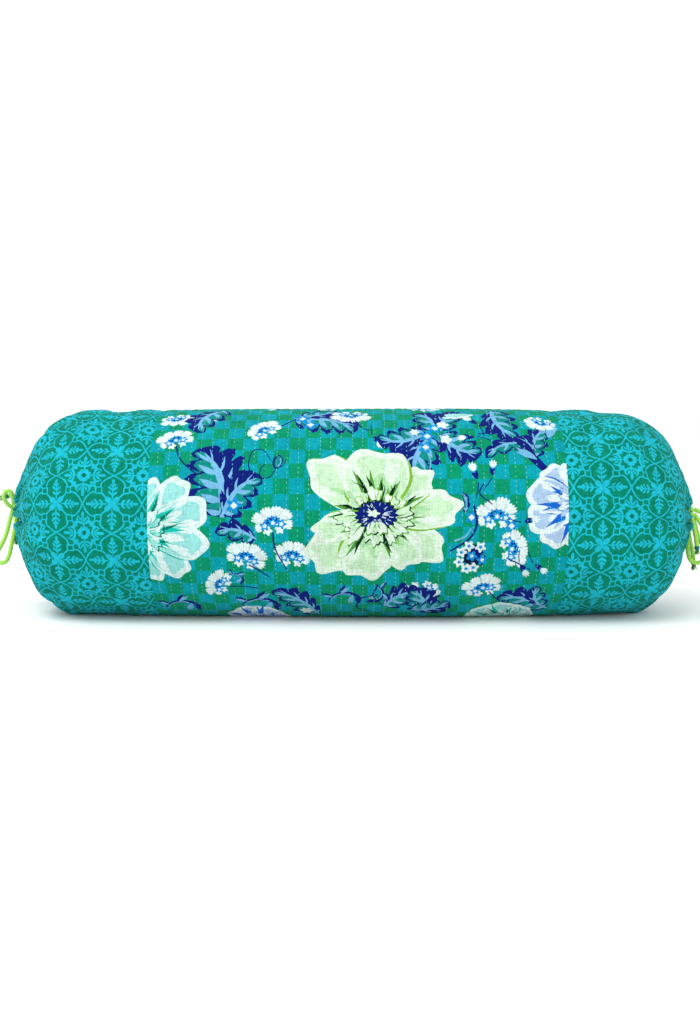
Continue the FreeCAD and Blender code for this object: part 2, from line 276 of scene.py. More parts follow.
def knot_line(centre, side):
    """A closed overhand knot, small and tight."""
    t = np.linspace(0, TAU, 160, endpoint=False) + 0.6
    x = np.sin(t) + 2 * np.sin(2 * t)
    y = np.cos(t) - 2 * np.cos(2 * t)
    z = -1.5 * np.sin(3 * t)
    line = np.stack([side * z * 1.15, x, y * 0.95], 1) * 1.22 * MM + np.array(centre)
    return np.concatenate([line, line[:1]])


# ---- materials ----
class Look:
    """A material, and short ways to add nodes to it."""

    def __init__(self, name, roughness=0.85, sheen=0.0, specular=0.12):
        self.material = bpy.data.materials.new(name)
        self.material.use_nodes = True
        self.nodes, self.links = self.material.node_tree.nodes, self.material.node_tree.links
        self.shader = self.nodes["Principled BSDF"]
        self.shader.inputs["Roughness"].default_value = roughness
        self.shader.inputs["Sheen Weight"].default_value = sheen
        self.shader.inputs["Sheen Roughness"].default_value = 0.5
        self.shader.inputs["Specular IOR Level"].default_value = specular

    def add(self, kind, **values):
        made = self.nodes.new("ShaderNode" + kind)
        for key, value in values.items():
            setattr(made, key, value)
        return made

    def wire(self, value, socket):
        """Gives a socket a number, a colour, a vector or another node's output."""
        if isinstance(value, bpy.types.NodeSocket):
            self.links.new(value, socket)
        elif isinstance(value, tuple) and len(socket.default_value) == 4:
            socket.default_value = (*value, 1)
        else:
            socket.default_value = value

    def attribute(self, name, output):
        return self.add("Attribute", attribute_name=name).outputs[output]

    def on_piece(self):
        """Where a point is on its own piece."""
        return self.add("TexCoord").outputs["Object"]

    def math(self, operation, *values):
        made = self.add("Math", operation=operation)
        for socket, value in zip(made.inputs, values):
            self.wire(value, socket)
        return made.outputs[0]

    def mix(self, blend, factor, a, b):
        made = self.add("Mix", data_type="RGBA", blend_type=blend)
        for index, value in ((0, factor), (6, a), (7, b)):
            self.wire(value, made.inputs[index])
        return made.outputs[2]

    def times(self, colour, shade):
        return self.mix("MULTIPLY", 1.0, colour, shade)

    def noise(self, vector, scale, detail=3.0, stretch=(1, 1, 1)):
        mapping, texture = self.add("Mapping"), self.add("TexNoise")
        self.wire(stretch, mapping.inputs["Scale"])
        self.wire(vector, mapping.inputs["Vector"])
        self.wire(scale, texture.inputs["Scale"])
        self.wire(detail, texture.inputs["Detail"])
        self.wire(mapping.outputs[0], texture.inputs["Vector"])
        return texture.outputs["Fac"]

    def ramp(self, value, *stops):
        made = self.add("ValToRGB")
        for element, (position, grey) in zip(made.color_ramp.elements, stops):
            element.position = position
            element.color = (grey, grey, grey, 1)
        self.wire(value, made.inputs[0])
        return made.outputs[0]

    def finish(self, colour, height, strength, depth):
        """Gives the shader its colour and its bump."""
        bump = self.add("Bump")
        self.wire(strength, bump.inputs["Strength"])
        self.wire(depth, bump.inputs["Distance"])
        self.wire(height, bump.inputs["Height"])
        self.wire(bump.outputs[0], self.shader.inputs["Normal"])
        self.wire(colour, self.shader.inputs["Base Color"])
        return self.material


WEAVE = 0.55 * MM  # from one thread to the next


def weave_height(look, where):
    """A plain weave with uneven threads."""
    split = look.add("SeparateXYZ")
    look.wire(where, split.inputs[0])
    across, along = (
        look.math("SINE", look.math("MULTIPLY", split.outputs[axis], TAU / WEAVE)) for axis in (0, 1)
    )  # fmt: skip
    threads = look.math("MULTIPLY", look.math("MULTIPLY", across, along), 0.25)
    return look.math("ADD", threads, look.noise(where, 900, 2.0, (1, 0.16, 1)))


def cloth_material(name, ground):
    """Printed cotton. ground makes the colour under the print from the cloth's own coordinates."""
    look = Look(name, 0.9, 0.015, 0.05)
    where = look.attribute("cloth", "Vector")
    share, ink = look.attribute("ink", "Alpha"), look.attribute("ink", "Color")
    colour = look.mix("MIX", share, ground(look, where), ink)
    slubs = look.math("MULTIPLY", *(look.noise(where, 620, 3.0, way) for way in ((1, 0.2, 1), (0.2, 1, 1))))
    colour = look.times(colour, look.ramp(slubs, (0.1, 0.72), (0.42, 1.12)))
    fade = look.ramp(look.noise(where, 30), (0.3, 0.9), (0.7, 1.06))
    return look.finish(look.times(colour, fade), weave_height(look, where), 0.5, 0.25 * MM)


CHECK = 15 * MM
TEAL = linear(4, 147, 160)
GREEN = linear(3, 136, 97)
TILE_GREEN = linear(3, 104, 84)
TILE_GREEN_LIGHT = linear(4, 134, 106)


def checked_ground(look, where):
    """Squares of two colours, with hand-printed edges."""
    shake = look.add("TexNoise")
    look.wire(160.0, shake.inputs["Scale"])
    look.wire(where, shake.inputs["Vector"])
    offset = look.add("VectorMath", operation="MULTIPLY_ADD")
    for socket, value in zip(offset.inputs, (shake.outputs["Color"], (1.2 * MM, 1.2 * MM, 0), where)):
        look.wire(value, socket)
    checker = look.add("TexChecker")
    look.wire(1 / CHECK, checker.inputs["Scale"])
    look.wire(TEAL, checker.inputs["Color1"])
    look.wire(GREEN, checker.inputs["Color2"])
    look.wire(offset.outputs[0], checker.inputs["Vector"])
    speckle = look.ramp(look.noise(where, 900, 4.0), (0.35, 0.8), (0.6, 1.1))
    return look.times(checker.outputs[0], speckle)


def plain_ground(look, where):
    return look.mix("MIX", look.noise(where, 45, 2.0), TILE_GREEN, TILE_GREEN_LIGHT)


def cord_material():
    look = Look("lime_cord", 0.7, 0.2)
    where = look.on_piece()
    # Painted shade: the cord is darkest where its strands sink into the grooves between them, and lightest on
    # their crests.
    colour = look.mix("MIX", look.attribute("height", "Fac"), linear(66, 140, 40), linear(164, 222, 92))
    fibres = look.ramp(look.noise(where, 2500), (0.3, 0.85), (0.7, 1.1))
    return look.finish(look.times(colour, fibres), look.noise(where, 3500, 2.0), 0.4, 0.15 * MM)


def thread_material(name, dark, light, roughness=0.75):
    look = Look(name, roughness, 0.2)
    where = look.on_piece()
    colour = look.mix("MIX", look.noise(where, 1800), dark, light)
    return look.finish(colour, look.noise(where, 4000, 2.0), 0.4, 0.1 * MM)


LIME = cord_material()
PRINTED = cloth_material("checked_cotton", checked_ground)
TILED = cloth_material("tile_print_cotton", plain_ground)
STITCH = thread_material("stitching_thread", linear(70, 168, 164), linear(130, 205, 198))
WHIP = thread_material("whipping_thread", linear(4, 70, 66), linear(24, 140, 130), 0.5)
CALICO = thread_material("plain_calico", linear(205, 203, 192), linear(232, 231, 222))
FIBRE = thread_material("polyester_fibre", linear(225, 226, 224), linear(244, 244, 242))
TURNED_IN = thread_material("turned_in_cotton", TILE_GREEN, TILE_GREEN_LIGHT)

# ---- the bows ----
CORDS = {
    "left_bow_upper_cord": ("left", "left_bow", LEFT_SHORT_LOOP + LEFT_SHORT_TAIL, 71, True),
    "left_bow_long_loop_cord": ("left", "left_hanging_ends", LEFT_LONG_LOOP, 124, False),
    "left_bow_long_tail_cord": ("left", "left_hanging_ends", LEFT_LONG_TAIL, 34, True),
    "right_bow_short_loop_cord": ("right", "right_hanging_ends", RIGHT_SHORT_LOOP, 77, False),
    "right_bow_long_loop_cord": ("right", "right_hanging_ends", RIGHT_LONG_LOOP, 118, False),
    "right_bow_short_tail_cord": ("right", "right_hanging_ends", RIGHT_SHORT_TAIL, 39, True),
    "right_bow_long_tail_cord": ("right", "right_hanging_ends", RIGHT_LONG_TAIL, 59, True),
}
REPLACED = {"left_bow_upper_cord": ["left_bow_short_loop", "left_bow_short_tail"]}
knots = {}
for name, side in SIDES.items():
    knot, _ = cord_piece(f"{name}_tied_knot", knot_line(place(side, KNOT[name]), side))
    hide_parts(f"{name}_bow_knot")
    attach(knot, f"{name}_bow")
    knots[name] = knot
for seed, (piece, (name, body, route, long, has_tip)) in enumerate(CORDS.items()):
    cord, centre = cord_piece(piece, smooth_line([place(SIDES[name], p) for p in route]))
    nodes_there = REPLACED.get(piece, [piece.removesuffix("_cord")])
    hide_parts(*nodes_there)
    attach(cord, body)
    on_it = [knots[name]] if piece == "left_bow_upper_cord" else []
    if has_tip:
        stem = nodes_there[-1]
        bound = whipping(f"{stem}_binding", centre)
        frayed = tuft(f"{stem}_frayed_end", centre, seed)
        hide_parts(f"{stem}_whipping")
        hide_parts(f"{stem}_tuft")
        for extra in (bound, frayed):
            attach(extra, body)
        on_it += [bound, frayed]


# ---- the shape of the cover ----
def end_outline(side):
    """The end panel from its seam to its mouth: how far along the cloth, how far out and at what radius."""
    t = np.linspace(0, math.acos(27 * MM / RADIUS), 60)
    dome = np.stack([SHOULDER + DOME * np.sin(t), RADIUS * np.cos(t)], 1)
    into = [(1.0, -5.5), (-2.7, -10.5), (-9.0, -13.0), (-18.0, -13.5)]
    mouth = [dome[-1] + MM * np.array(p) for p in into]
    mouth = smooth_line([(x, r, 0) for x, r in [dome[-4], dome[-1], *mouth]])[:, :2]
    start = np.stack([np.linspace(abs(SEAM[side]), SHOULDER, 30, endpoint=False), np.full(30, RADIUS)], 1)
    line = np.concatenate([start, dome[:-4], mouth])
    along = np.concatenate([[0], np.cumsum(np.linalg.norm(np.diff(line, axis=0), axis=1))])
    return along, line


def settle(points):
    """The roll settles on the floor, which flattens it there."""
    soft = 2 * MM
    z = points[:, 2]
    points[:, 2] = 0.5 * (z + np.sqrt(z * z + soft * soft))
    return points


def unevenness(x, angle):
    """The slow lumps of a hand-stuffed roll."""
    lumps = np.sin(2 * angle + 9 * x + 1) + 0.8 * np.sin(3 * angle - 14 * x)
    return 0.35 * MM * (lumps + 0.7 * np.sin(23 * x + 2 * angle + 2))


NEAR = 24 * MM  # the radius at which every fold is at its deepest
FOLDS = (  # how many, where they begin, their depth and how much they swirl
    (13, (80, 112), 9.5, 0.25),
    (29, (48, 76), 5.5, 0.1),
)


class Gathers:
    """The folds of one gathered end: broad ones from the shoulder in, and finer ones near the mouth."""

    def __init__(self, seed):
        rng = np.random.default_rng(seed)
        self.levels = []
        for count, start, depth, swirl in FOLDS:
            widths = rng.uniform(0.5, 1.5, count)
            edges = np.concatenate([[0], np.cumsum(widths)]) / widths.sum() * TAU
            deep = depth * MM * rng.uniform(0.3, 1.0, count + 1)
            deep[-1] = deep[0]
            begins = rng.uniform(*start, count + 1) * MM
            begins[-1] = begins[0]
            self.levels.append((edges, deep, begins, swirl))

    def height(self, angle, radius):
        total = -4.6 * MM * np.exp(-(((radius - 54 * MM) / (24 * MM)) ** 2))
        for edges, deep, begins, swirl in self.levels:
            a = (angle + swirl * (1 - radius / RADIUS)) % TAU
            k = np.clip(np.searchsorted(edges, a, side="right") - 1, 0, len(edges) - 2)
            w = (a - edges[k]) / (edges[k + 1] - edges[k])
            for end, far in ((k, w), (k + 1, 1 - w)):
                grow = np.clip((begins[end] - radius) / (begins[end] - NEAR), 0, 1) ** 0.9
                total -= deep[end] * grow * np.exp(-((far / 0.2) ** 2) * (0.6 + 0.4 * grow))
            crest = np.clip((begins[k] - radius) / (begins[k] - NEAR), 0, 1)
            total += 0.16 * deep[k] * crest * np.sin(math.pi * w) ** 2
        return total * np.clip((radius - 13.5 * MM) / (8 * MM), 0, 1) ** 0.6


GATHERS = {-1: Gathers(5), 1: Gathers(12)}
OUTLINE = {side: end_outline(side) for side in (-1, 1)}
PUFF = 0.9 * MM  # the cloth stands this much proud between its rows and seams
SEAM_DIP = 0.6 * MM
LOWEST = -0.7 * MM  # the seam allowances lie just under the cloth
TAPER = 2 * MM  # the ends are a little slimmer at their shoulders


def seam_dip(distance, width=2.2 * MM):
    return -SEAM_DIP * np.exp(-((distance / width) ** 2))


def back_seam_distance(v):
    return np.minimum(np.abs(v - V_LOW), np.abs(V_HIGH - v))


V_HIGH = BACK_SEAM * RADIUS
V_LOW = V_HIGH - GIRTH


PILLOW_END = HALF - 14.5 * MM
PILLOW_CURVE = 300 * MM


def over_the_pillow(x, r):
    """How far out the cloth is at least: the folds stop at the domed end of the inner pillow."""
    dome = PILLOW_END - r * r / PILLOW_CURVE
    return np.where((r > 15 * MM) & (r < 75 * MM), np.maximum(x, dome), x)


def end_surface(side, u, v):
    """The end panel at cloth coordinates: u from its seam to its mouth, v up round the roll."""
    along, line = OUTLINE[side]

    def outline_at(u):
        return np.interp(u, along, line[:, 0]), np.interp(u, along, line[:, 1])

    x, r = outline_at(u)
    step = 0.5 * MM
    (x_after, r_after), (x_before, r_before) = outline_at(u + step), outline_at(u - step)
    dx, dr = x_after - x_before, r_after - r_before
    size = np.hypot(dx, dr) + 1e-12
    angle, share = v / RADIUS, np.clip(r / RADIUS, 0, 1)
    lift = GATHERS[side].height(angle, r) + PUFF * (1 - np.exp(-((u / (9 * MM)) ** 2))) * share
    lift += seam_dip(u) + seam_dip(back_seam_distance(v)) * share
    lift += unevenness(side * x, angle) * share**2
    lift -= TAPER * np.clip((u - 16 * MM) / (50 * MM), 0, 1) * share**4
    lift = np.maximum(lift, LOWEST - np.clip(u - 16 * MM, 0, 16 * MM))
    x, r = x - dr / size * lift, r + dx / size * lift
    x = over_the_pillow(x, r)
    return settle(np.stack([side * x, -r * np.cos(angle), AXIS_Z + r * np.sin(angle)], 1))


GRID_ALONG, GRID_ROUND = 72, 260
SIMULATED_FRAMES = 20
COTTON = {
    "use_pressure": True, "uniform_pressure_force": 3, "quality": 6, "mass": 0.2, "tension_stiffness": 30,
    "compression_stiffness": 30, "shear_stiffness": 8, "bending_stiffness": 0.05,
    "shrink_min": -0.03,  # 3% of spare cloth
}  # fmt: skip
MOST_SETTLING = 2.4 * MM
MOST_INWARD = 1.2 * MM  # the inner pillow and the seams are close behind the cloth


def settled_gathers(side):
    """A cloth simulation of one end: how far each point of a grid moves, with the seam and the mouth held."""
    along = OUTLINE[side][0][-1]
    u, v = np.linspace(0, along, GRID_ALONG), V_LOW + np.arange(GRID_ROUND) * GIRTH / GRID_ROUND
    u, v = (g.reshape(-1) for g in np.meshgrid(u, v, indexing="ij"))
    start = end_surface(side, u, v)
    faces = [(a, d, c, b) for a, b, c, d in quads(GRID_ALONG, GRID_ROUND)]
    obj = mesh_object("end_cloth_at_rest", start, faces)
    normals = np.array([tuple(vertex.normal) for vertex in obj.data.vertices])
    if (normals * (start - np.array([side * SHOULDER, 0, AXIS_Z]))).sum() < 0:
        obj.data.flip_normals()
        normals = -normals
    held = obj.vertex_groups.new(name="held")
    radius = np.hypot(start[:, 1], start[:, 2] - AXIS_Z)
    free = np.clip(u / (14 * MM), 0, 1) * np.clip((radius - 20 * MM) / (14 * MM), 0, 1) * (u < 0.9 * along)
    for index, share in enumerate(free):
        held.add([index], 1 - share, "REPLACE")
    modifier = obj.modifiers.new("cloth", "CLOTH")
    settings = modifier.settings
    settings.vertex_group_mass = "held"
    settings.effector_weights.gravity = 0
    for key, value in COTTON.items():
        setattr(settings, key, value)
    for number in range(1, SIMULATED_FRAMES + 1):
        bpy.context.scene.frame_set(number)
    after = obj.evaluated_get(bpy.context.evaluated_depsgraph_get())
    moved_by = np.array([tuple(vertex.co) for vertex in after.data.vertices]) - start
    bpy.data.objects.remove(obj)
    bpy.context.scene.frame_set(1)
    # The roll keeps its size, so the swelling that is the same all round is taken off.
    out = (start - np.array([0, 0, AXIS_Z])) * (0, 1, 1) / radius[:, None]
    swelling = np.stack([moved_by[:, 0], (moved_by * out).sum(1)], 1)
    swelling = np.repeat(swelling.reshape(GRID_ALONG, GRID_ROUND, 2).mean(1), GRID_ROUND, axis=0)
    moved_by -= np.column_stack([swelling[:, 0], out[:, 1:] * swelling[:, 1:]])
    far = np.linalg.norm(moved_by, axis=1)
    moved_by *= (free * MOST_SETTLING * np.tanh(far / MOST_SETTLING) / (far + 1e-9))[:, None]
    outward = (moved_by * normals).sum(1)
    moved_by += normals * (np.maximum(outward, -MOST_INWARD) - outward)[:, None]
    return moved_by.reshape(GRID_ALONG, GRID_ROUND, 3)


def spline_weights(t):
    return (1 - t) ** 3 / 6, (3 * t**3 - 6 * t**2 + 4) / 6, (3 * t + 3 * t**2 - 3 * t**3 + 1) / 6, t**3 / 6


def stuffed_end(side, settling, u, v):
    """The end panel, moved as its simulation says."""
    a = np.clip(u / OUTLINE[side][0][-1], 0, 0.99999) * (GRID_ALONG - 1)
    b = (v - V_LOW) / GIRTH * GRID_ROUND
    i, j = np.floor(a).astype(int), np.floor(b).astype(int)
    points = end_surface(side, u, v)
    for m, across in enumerate(spline_weights(a - i)):
        row = np.clip(i + m - 1, 0, GRID_ALONG - 1)
        for n, around in enumerate(spline_weights(b - j)):
            points += (across * around)[:, None] * settling[row, (j + n - 1) % GRID_ROUND]
    points[:, 0] = side * over_the_pillow(side * points[:, 0], np.hypot(points[:, 1], points[:, 2] - AXIS_Z))
    points[:, 2] = np.maximum(points[:, 2], 0.05 * MM)
    return points


ROWS = 38
ROW_PITCH = 10.4 * MM
PANEL_WIDTH = SEAM[1] - SEAM[-1]
ROW_MARGIN = (PANEL_WIDTH - (ROWS - 1) * ROW_PITCH) / 2


def row_distance(u):
    """How far cloth coordinate u, from the left seam, is from the nearest row of stitches."""
    row = np.clip(np.round((u - ROW_MARGIN) / ROW_PITCH), 0, ROWS - 1)
    return np.abs(u - ROW_MARGIN - row * ROW_PITCH), row


def middle_surface(u, v):
    """The middle panel at cloth coordinates: u from its left seam, v up round the roll from its front."""
    angle = v / RADIUS
    distance, row = row_distance(u)
    pull = 0.55 + 0.3 * np.sin(v / (7.3 * MM) + 5 * row) + 0.25 * np.sin(v / (3.1 * MM) + 3 * row)
    lift = PUFF * (1 - np.clip(pull, 0.1, 1) * np.exp(-((distance / (1.9 * MM)) ** 2)))
    edge = np.minimum(u, PANEL_WIDTH - u)
    lift *= 1 - np.exp(-((edge / (5 * MM)) ** 2))
    lift += seam_dip(edge) + seam_dip(back_seam_distance(v))
    x = SEAM[-1] + u
    barrel = 2.6 * MM * np.clip(1 - ((x - 15 * MM) / (190 * MM)) ** 2, 0, 1)
    r = RADIUS + np.maximum(lift + unevenness(x, angle) + barrel, LOWEST)
    return settle(np.stack([x, -r * np.cos(angle), AXIS_Z + r * np.sin(angle)], 1))


# ---- print: outlines in millimetres on the flat cloth ----
INKS = {
    "navy": (14, 32, 124), "dark": (12, 30, 70), "sky": (122, 190, 232), "blue": (14, 150, 228),
    "white": (232, 250, 248), "shade": (200, 226, 228), "mint": (208, 244, 204), "pale": (232, 252, 232),
    "leafy": (178, 228, 172), "lemon": (132, 192, 56), "olive": (84, 158, 48), "black": (14, 44, 34),
    "aqua": (158, 230, 226), "foam": (226, 250, 246), "sea": (22, 198, 176), "deep": (8, 118, 96),
    "ice": (178, 208, 240), "royal": (26, 106, 214), "turquoise": (30, 194, 216), "jade": (14, 146, 136),
    "forest": (3, 116, 92),
}  # fmt: skip
INK = {name: (*(0.76 * c for c in linear(*rgb)), 1.0) for name, rgb in INKS.items()}


def moved(shape, at=(0, 0), angle=0.0, size=1.0, flip=1):
    """An outline turned by an angle in degrees from pointing up, scaled and moved."""
    a = math.radians(angle)
    shape = np.asarray(shape, float) * size
    x, y = shape[:, 0] * flip, shape[:, 1]
    return np.stack([x * math.cos(a) - y * math.sin(a) + at[0], x * math.sin(a) + y * math.cos(a) + at[1]], 1)


def through(points, n=6):
    """A smooth line through some points."""
    p = np.asarray(points, float)
    p = np.concatenate([[2 * p[0] - p[1]], p, [2 * p[-1] - p[-2]]])
    out = []
    for a, b, c, d in zip(p, p[1:], p[2:], p[3:]):
        t = np.linspace(0, 1, n, endpoint=False)[:, None]
        square, cube = 2 * a - 5 * b + 4 * c - d, 3 * b - a - 3 * c + d
        out.append(0.5 * (2 * b + (c - a) * t + square * t**2 + cube * t**3))
    return np.concatenate([*out, p[-2:-1]])


def stroke(points, start, end=None, swell=0.0):
    """A brush stroke along a smooth line, from one width to another."""
    line = through(points, 5)
    end = start if end is None else end
    ahead = np.gradient(line, axis=0)
    ahead /= np.linalg.norm(ahead, axis=1)[:, None] + 1e-9
    across = np.stack([-ahead[:, 1], ahead[:, 0]], 1)
    t = np.linspace(0, 1, len(line))
    half = (start + (end - start) * t + swell * np.sin(math.pi * t)) / 2 + 0.06
    return np.concatenate([line + across * half[:, None], (line - across * half[:, None])[::-1]])


def petal(long, wide, ruffle=0.05, waves=5, phase=0.0, narrow=0.5, points=34):
    """A petal from the origin upwards, with a ruffled edge."""
    a = np.linspace(0, TAU, points, endpoint=False)
    x, y = np.sin(a) * wide / 2, long * (1 - np.cos(a)) / 2
    x *= narrow + (1 - narrow) * y / long
    swell = 1 + ruffle * np.sin(waves * a + phase) * np.clip(y / long, 0, 1) ** 1.5
    return np.stack([x * swell, y * swell], 1)


def toothed(start, end, radius, teeth, depth, squash=1.0):
    """A fan about the origin, from one angle to another, with a toothed edge."""
    n = teeth * 5 + 1
    t = np.linspace(0, 1, n)
    a = np.radians(start + (end - start) * t)
    r = radius * (1 - depth * (1 - np.abs(np.sin(math.pi * teeth * t)) ** 0.8) - 0.1 * (2 * t - 1) ** 4)
    return np.concatenate([[(0, 0)], np.stack([r * np.cos(a), r * np.sin(a) * squash], 1)])


def star(radius, points=5, depth=0.5, phase=0.0):
    a = np.linspace(0, TAU, points * 6, endpoint=False)
    r = radius * (1 - depth * (0.5 - 0.5 * np.cos(points * a + phase)) ** 1.2)
    return np.stack([r * np.cos(a), r * np.sin(a)], 1)


def floret(x, y, size, ink="blue", phase=0.0):
    return [
        (ink, moved(star(size, 5, 0.5, phase), (x, y))),
        ("white", moved(star(size * 0.4, 4, 0.3), (x, y))),
    ]


def carnation(x, y, angle, size=1.0, open_to=1.0, dark="navy"):
    """A fan of white toothed petals over small blue flowers."""
    rng = np.random.default_rng(int(abs(x * 7 + y * 13)) + 3)
    shapes = []
    for middle in (-12, 30, 68, 108, 148, 190):
        half, r = 19 + rng.uniform(-2, 2), rng.uniform(17.5, 20.5) * (0.86 if middle in (-12, 190) else 1)
        shapes.append(("white", toothed(middle - half, middle + half, r, 4, 0.1, 0.84 * open_to)))
    for a in (12, 50, 88, 128, 168):
        tip = 15 * np.array([math.cos(math.radians(a)), math.sin(math.radians(a)) * 0.84 * open_to])
        shapes.append(("shade", stroke([tip * 0.4, tip * 0.72, tip], 0.5, 1.2)))
    shapes.append(("blue", toothed(0, 180, 9.2, 7, 0.35, 0.8 * open_to)))
    shapes.append((dark, toothed(10, 170, 7.6, 6, 0.42, 0.8 * open_to)))
    for px, py in ((-5.4, -5.0), (5.2, -5.2)):
        shapes.append(("white", moved(star(4.4, 5, 0.4, px), (px, py))))
    for px, py in ((-7.2, -0.8), (0.2, 0.8), (7.2, -1.0)):
        shapes.append(("blue", moved(star(4.6, 5, 0.45, px), (px, py))))
        shapes.append(("white", moved(star(2.0, 5, 0.4, px), (px, py))))
    return [(ink, moved(s, (x, y), angle, size)) for ink, s in shapes]


def leaf(x, y, angle, long, wide, lobes=4, flip=1, light="sky", dark="navy", curl=0.16):
    """An acanthus-like leaf: a dark lobed blade, one half paler within, with a light rib and veins."""

    def rib(t):
        return np.stack([curl * long * np.sin(0.9 * math.pi * t), long * t], 1)

    def half_blade(side, share, deep, low=0.0, high=1.0):
        t = np.linspace(low, high, lobes * 14 + 1)
        bump = np.abs(np.sin(math.pi * lobes * t**0.85)) ** 0.6
        teeth = np.abs(np.sin(3 * math.pi * lobes * t**0.85 + 0.4))
        bulk = np.sin(math.pi * (0.06 + 0.94 * t) ** 0.72) ** 0.7
        half = share * wide / 2 * bulk * (1 - deep * (1 - bump) - 0.07 * (1 - teeth))
        half[[0, -1]] *= 0.1
        edge = rib(t) + np.stack([side * half, 0.5 * half], 1)
        return np.concatenate([edge, rib(t[::-2])])

    shapes = [(dark, half_blade(1, 1.0, 0.5)), (dark, half_blade(-1, 1.04, 0.52))]
    shapes.append((dark, stroke(rib(np.linspace(0, 0.5, 4)), wide * 0.12, wide * 0.2)))
    shapes.append(("jade", half_blade(-1, 0.78, 0.58, 0.08, 0.92)))
    for k in range(lobes):
        at = ((k + 0.5) / lobes) ** (1 / 0.85)
        base, tip = rib(np.array([at * 0.82, at]))
        reach = wide / 2 * math.sin(math.pi * (0.06 + 0.94 * at) ** 0.72) ** 0.7
        for side, share, start, swell in ((-1, 0.6, 1.6, reach * 0.2), (1, 0.5, 1.3, reach * 0.07)):
            end = tip + (side * reach * share, reach * share * 0.55)
            bend = (base + end) / 2 + (side * reach * 0.04, -reach * 0.05)
            shapes.append((light, stroke([base, bend, end], start, 0.3, swell)))
    shapes.append((light, stroke(rib(np.linspace(0, 0.9, 5)), wide * 0.07, 0.6, wide * 0.07)))
    return [(ink, moved(s, (x, y), angle, 1.0, flip)) for ink, s in shapes]


def scroll(x, y, angle, size=1.0, flip=1):
    """A curling stem with a feathered leaf along it."""
    spine = [(0, 0), (6, 7), (15, 10), (25, 8), (32, 1), (30, -6)]
    shapes = [
        ("navy", stroke(spine, 1.2, 2.0, 3.0)),
        ("navy", moved(petal(13, 8, 0.14, 6), (13, 9), -38)),
        ("sky", moved(petal(11, 5.5, 0.16, 6, 2), (15, 10), -52)),
        ("sky", moved(petal(14, 7, 0.16, 7, 1), (26, 6), 160)),
        ("navy", moved(petal(11, 6, 0.15, 6, 3), (28, 2), 200)),
        ("sky", stroke([(2, 1), (8, 7), (16, 9), (24, 7)], 0.7, 1.4)),
        ("navy", moved(petal(12, 7, 0.15, 7), (6, 6), 60)),
        ("sky", moved(petal(9, 3.6, 0.1, 5), (5, 6), 68)),
    ]
    return [(ink, moved(s, (x, y), angle, size, flip)) for ink, s in shapes]


def bud(x, y, angle, size=1.0, flip=1):
    shapes = [
        ("navy", stroke([(-7, -16), (-3, -10), (0, -3)], 0.7, 1.1)),
        ("navy", petal(10, 7, 0.05, 4, 1, 0.6)),
        ("blue", moved(petal(5, 6, 0.18, 7), (0, 6.5))),
        ("white", moved(petal(8, 8, 0.2, 9, 1, 0.8), (0, 8.5))),
    ]
    return [(ink, moved(s, (x, y), angle, size, flip)) for ink, s in shapes]


def closed_bud(x, y, angle, flip=1):
    shapes = [
        ("navy", stroke([(0, -1), (-3, -9), (-11, -12), (-14, -4), (-11, 3)], 0.9, 0.9)),
        ("navy", petal(15, 11, 0.03, 4, 0, 0.8)),
        ("jade", moved(petal(12, 7.5, 0.03, 4, 0, 0.8), (0.6, 1.6))),
        ("sky", stroke([(1.6, 3), (3.2, 7), (1.4, 12)], 1.4, 0.5)),
        ("navy", stroke([(-1, 0), (6, 5), (7, 13)], 1.3, 0.5)),
    ]
    return [(ink, moved(s, (x, y), angle, 1.0, flip)) for ink, s in shapes]


def painted_petal(at, angle, long, wide, seed, inks, ruffle=0.05):
    """A broad petal with a pale rim, shade towards its base and brushed veins."""
    rim, body, shade, vein, deep_vein = inks
    rng = np.random.default_rng(seed)
    waves = int(rng.integers(5, 8))
    layers = [  # ink, length, width, ruffle, waves, phase, narrowness, points, place across, place up, turn
        (vein, 0.93, 1.03, ruffle, waves, seed, 0.5, 44, 0.02, 0, 0),
        (rim, 1, 1, ruffle, waves, seed, 0.5, 44, 0, 0, 0),
        (body, 0.9, 0.86, ruffle, waves, seed, 0.5, 40, 0.02, -0.01, 0),
        (shade, 0.55, 0.66, 0.16, 7, seed + 1, 0.62, 34, -0.03, 0.01, 0),
        (body, 0.42, 0.3, 0.14, 6, seed + 3, 0.62, 34, -0.14, 0.14, 10),
        (rim, 0.34, 0.22, 0.12, 5, seed + 2, 0.6, 34, 0.16, 0.46, -12),
        (rim, 0.26, 0.16, 0.12, 5, seed, 0.6, 34, -0.2, 0.5, 14),
    ]
    shapes = [
        (ink, moved(petal(long * tall, wide * broad, *edge), (wide * across, long * up), turn))
        for ink, tall, broad, *edge, across, up, turn in layers
    ]
    for k in range(10):
        lean = (k - 4.5) / 9 + rng.normal(0, 0.03)
        reach = long * rng.uniform(0.25, 0.6)
        start = np.array([lean * wide * 0.3, long * rng.uniform(0.06, 0.16)])
        tip = np.array([lean * wide * 0.8, reach])
        middle = (start + tip) / 2 + (lean * wide * 0.12, rng.normal(0, 0.6))
        ink = (vein, shade, deep_vein, vein)[k % 4]
        shapes.append((ink, stroke([start, middle, tip], rng.uniform(1.8, 3.4), 0.2, 0.8)))
    return [(ink, moved(s, at, angle)) for ink, s in shapes]


def crevices(angles, start, inks, seed):
    """The dark gaps between petals, near the heart of a flower."""
    rng = np.random.default_rng(seed)
    shapes = []
    for angle in angles:
        long = rng.uniform(16, 36)
        for k, ink in enumerate(inks):
            bend, end = rng.uniform(-3, 3), start + long * (1 - 0.16 * k)
            line = [(k * 1.2, start), (k * 1.6 + bend * 0.5, start + long * 0.5), (bend, end)]
            gap = stroke(line, 6.2 - 2.2 * k, 0.3, 1.4 - 0.8 * k)
            shapes.append((ink, moved(gap, (0, 0), angle + k * 2)))
    return shapes


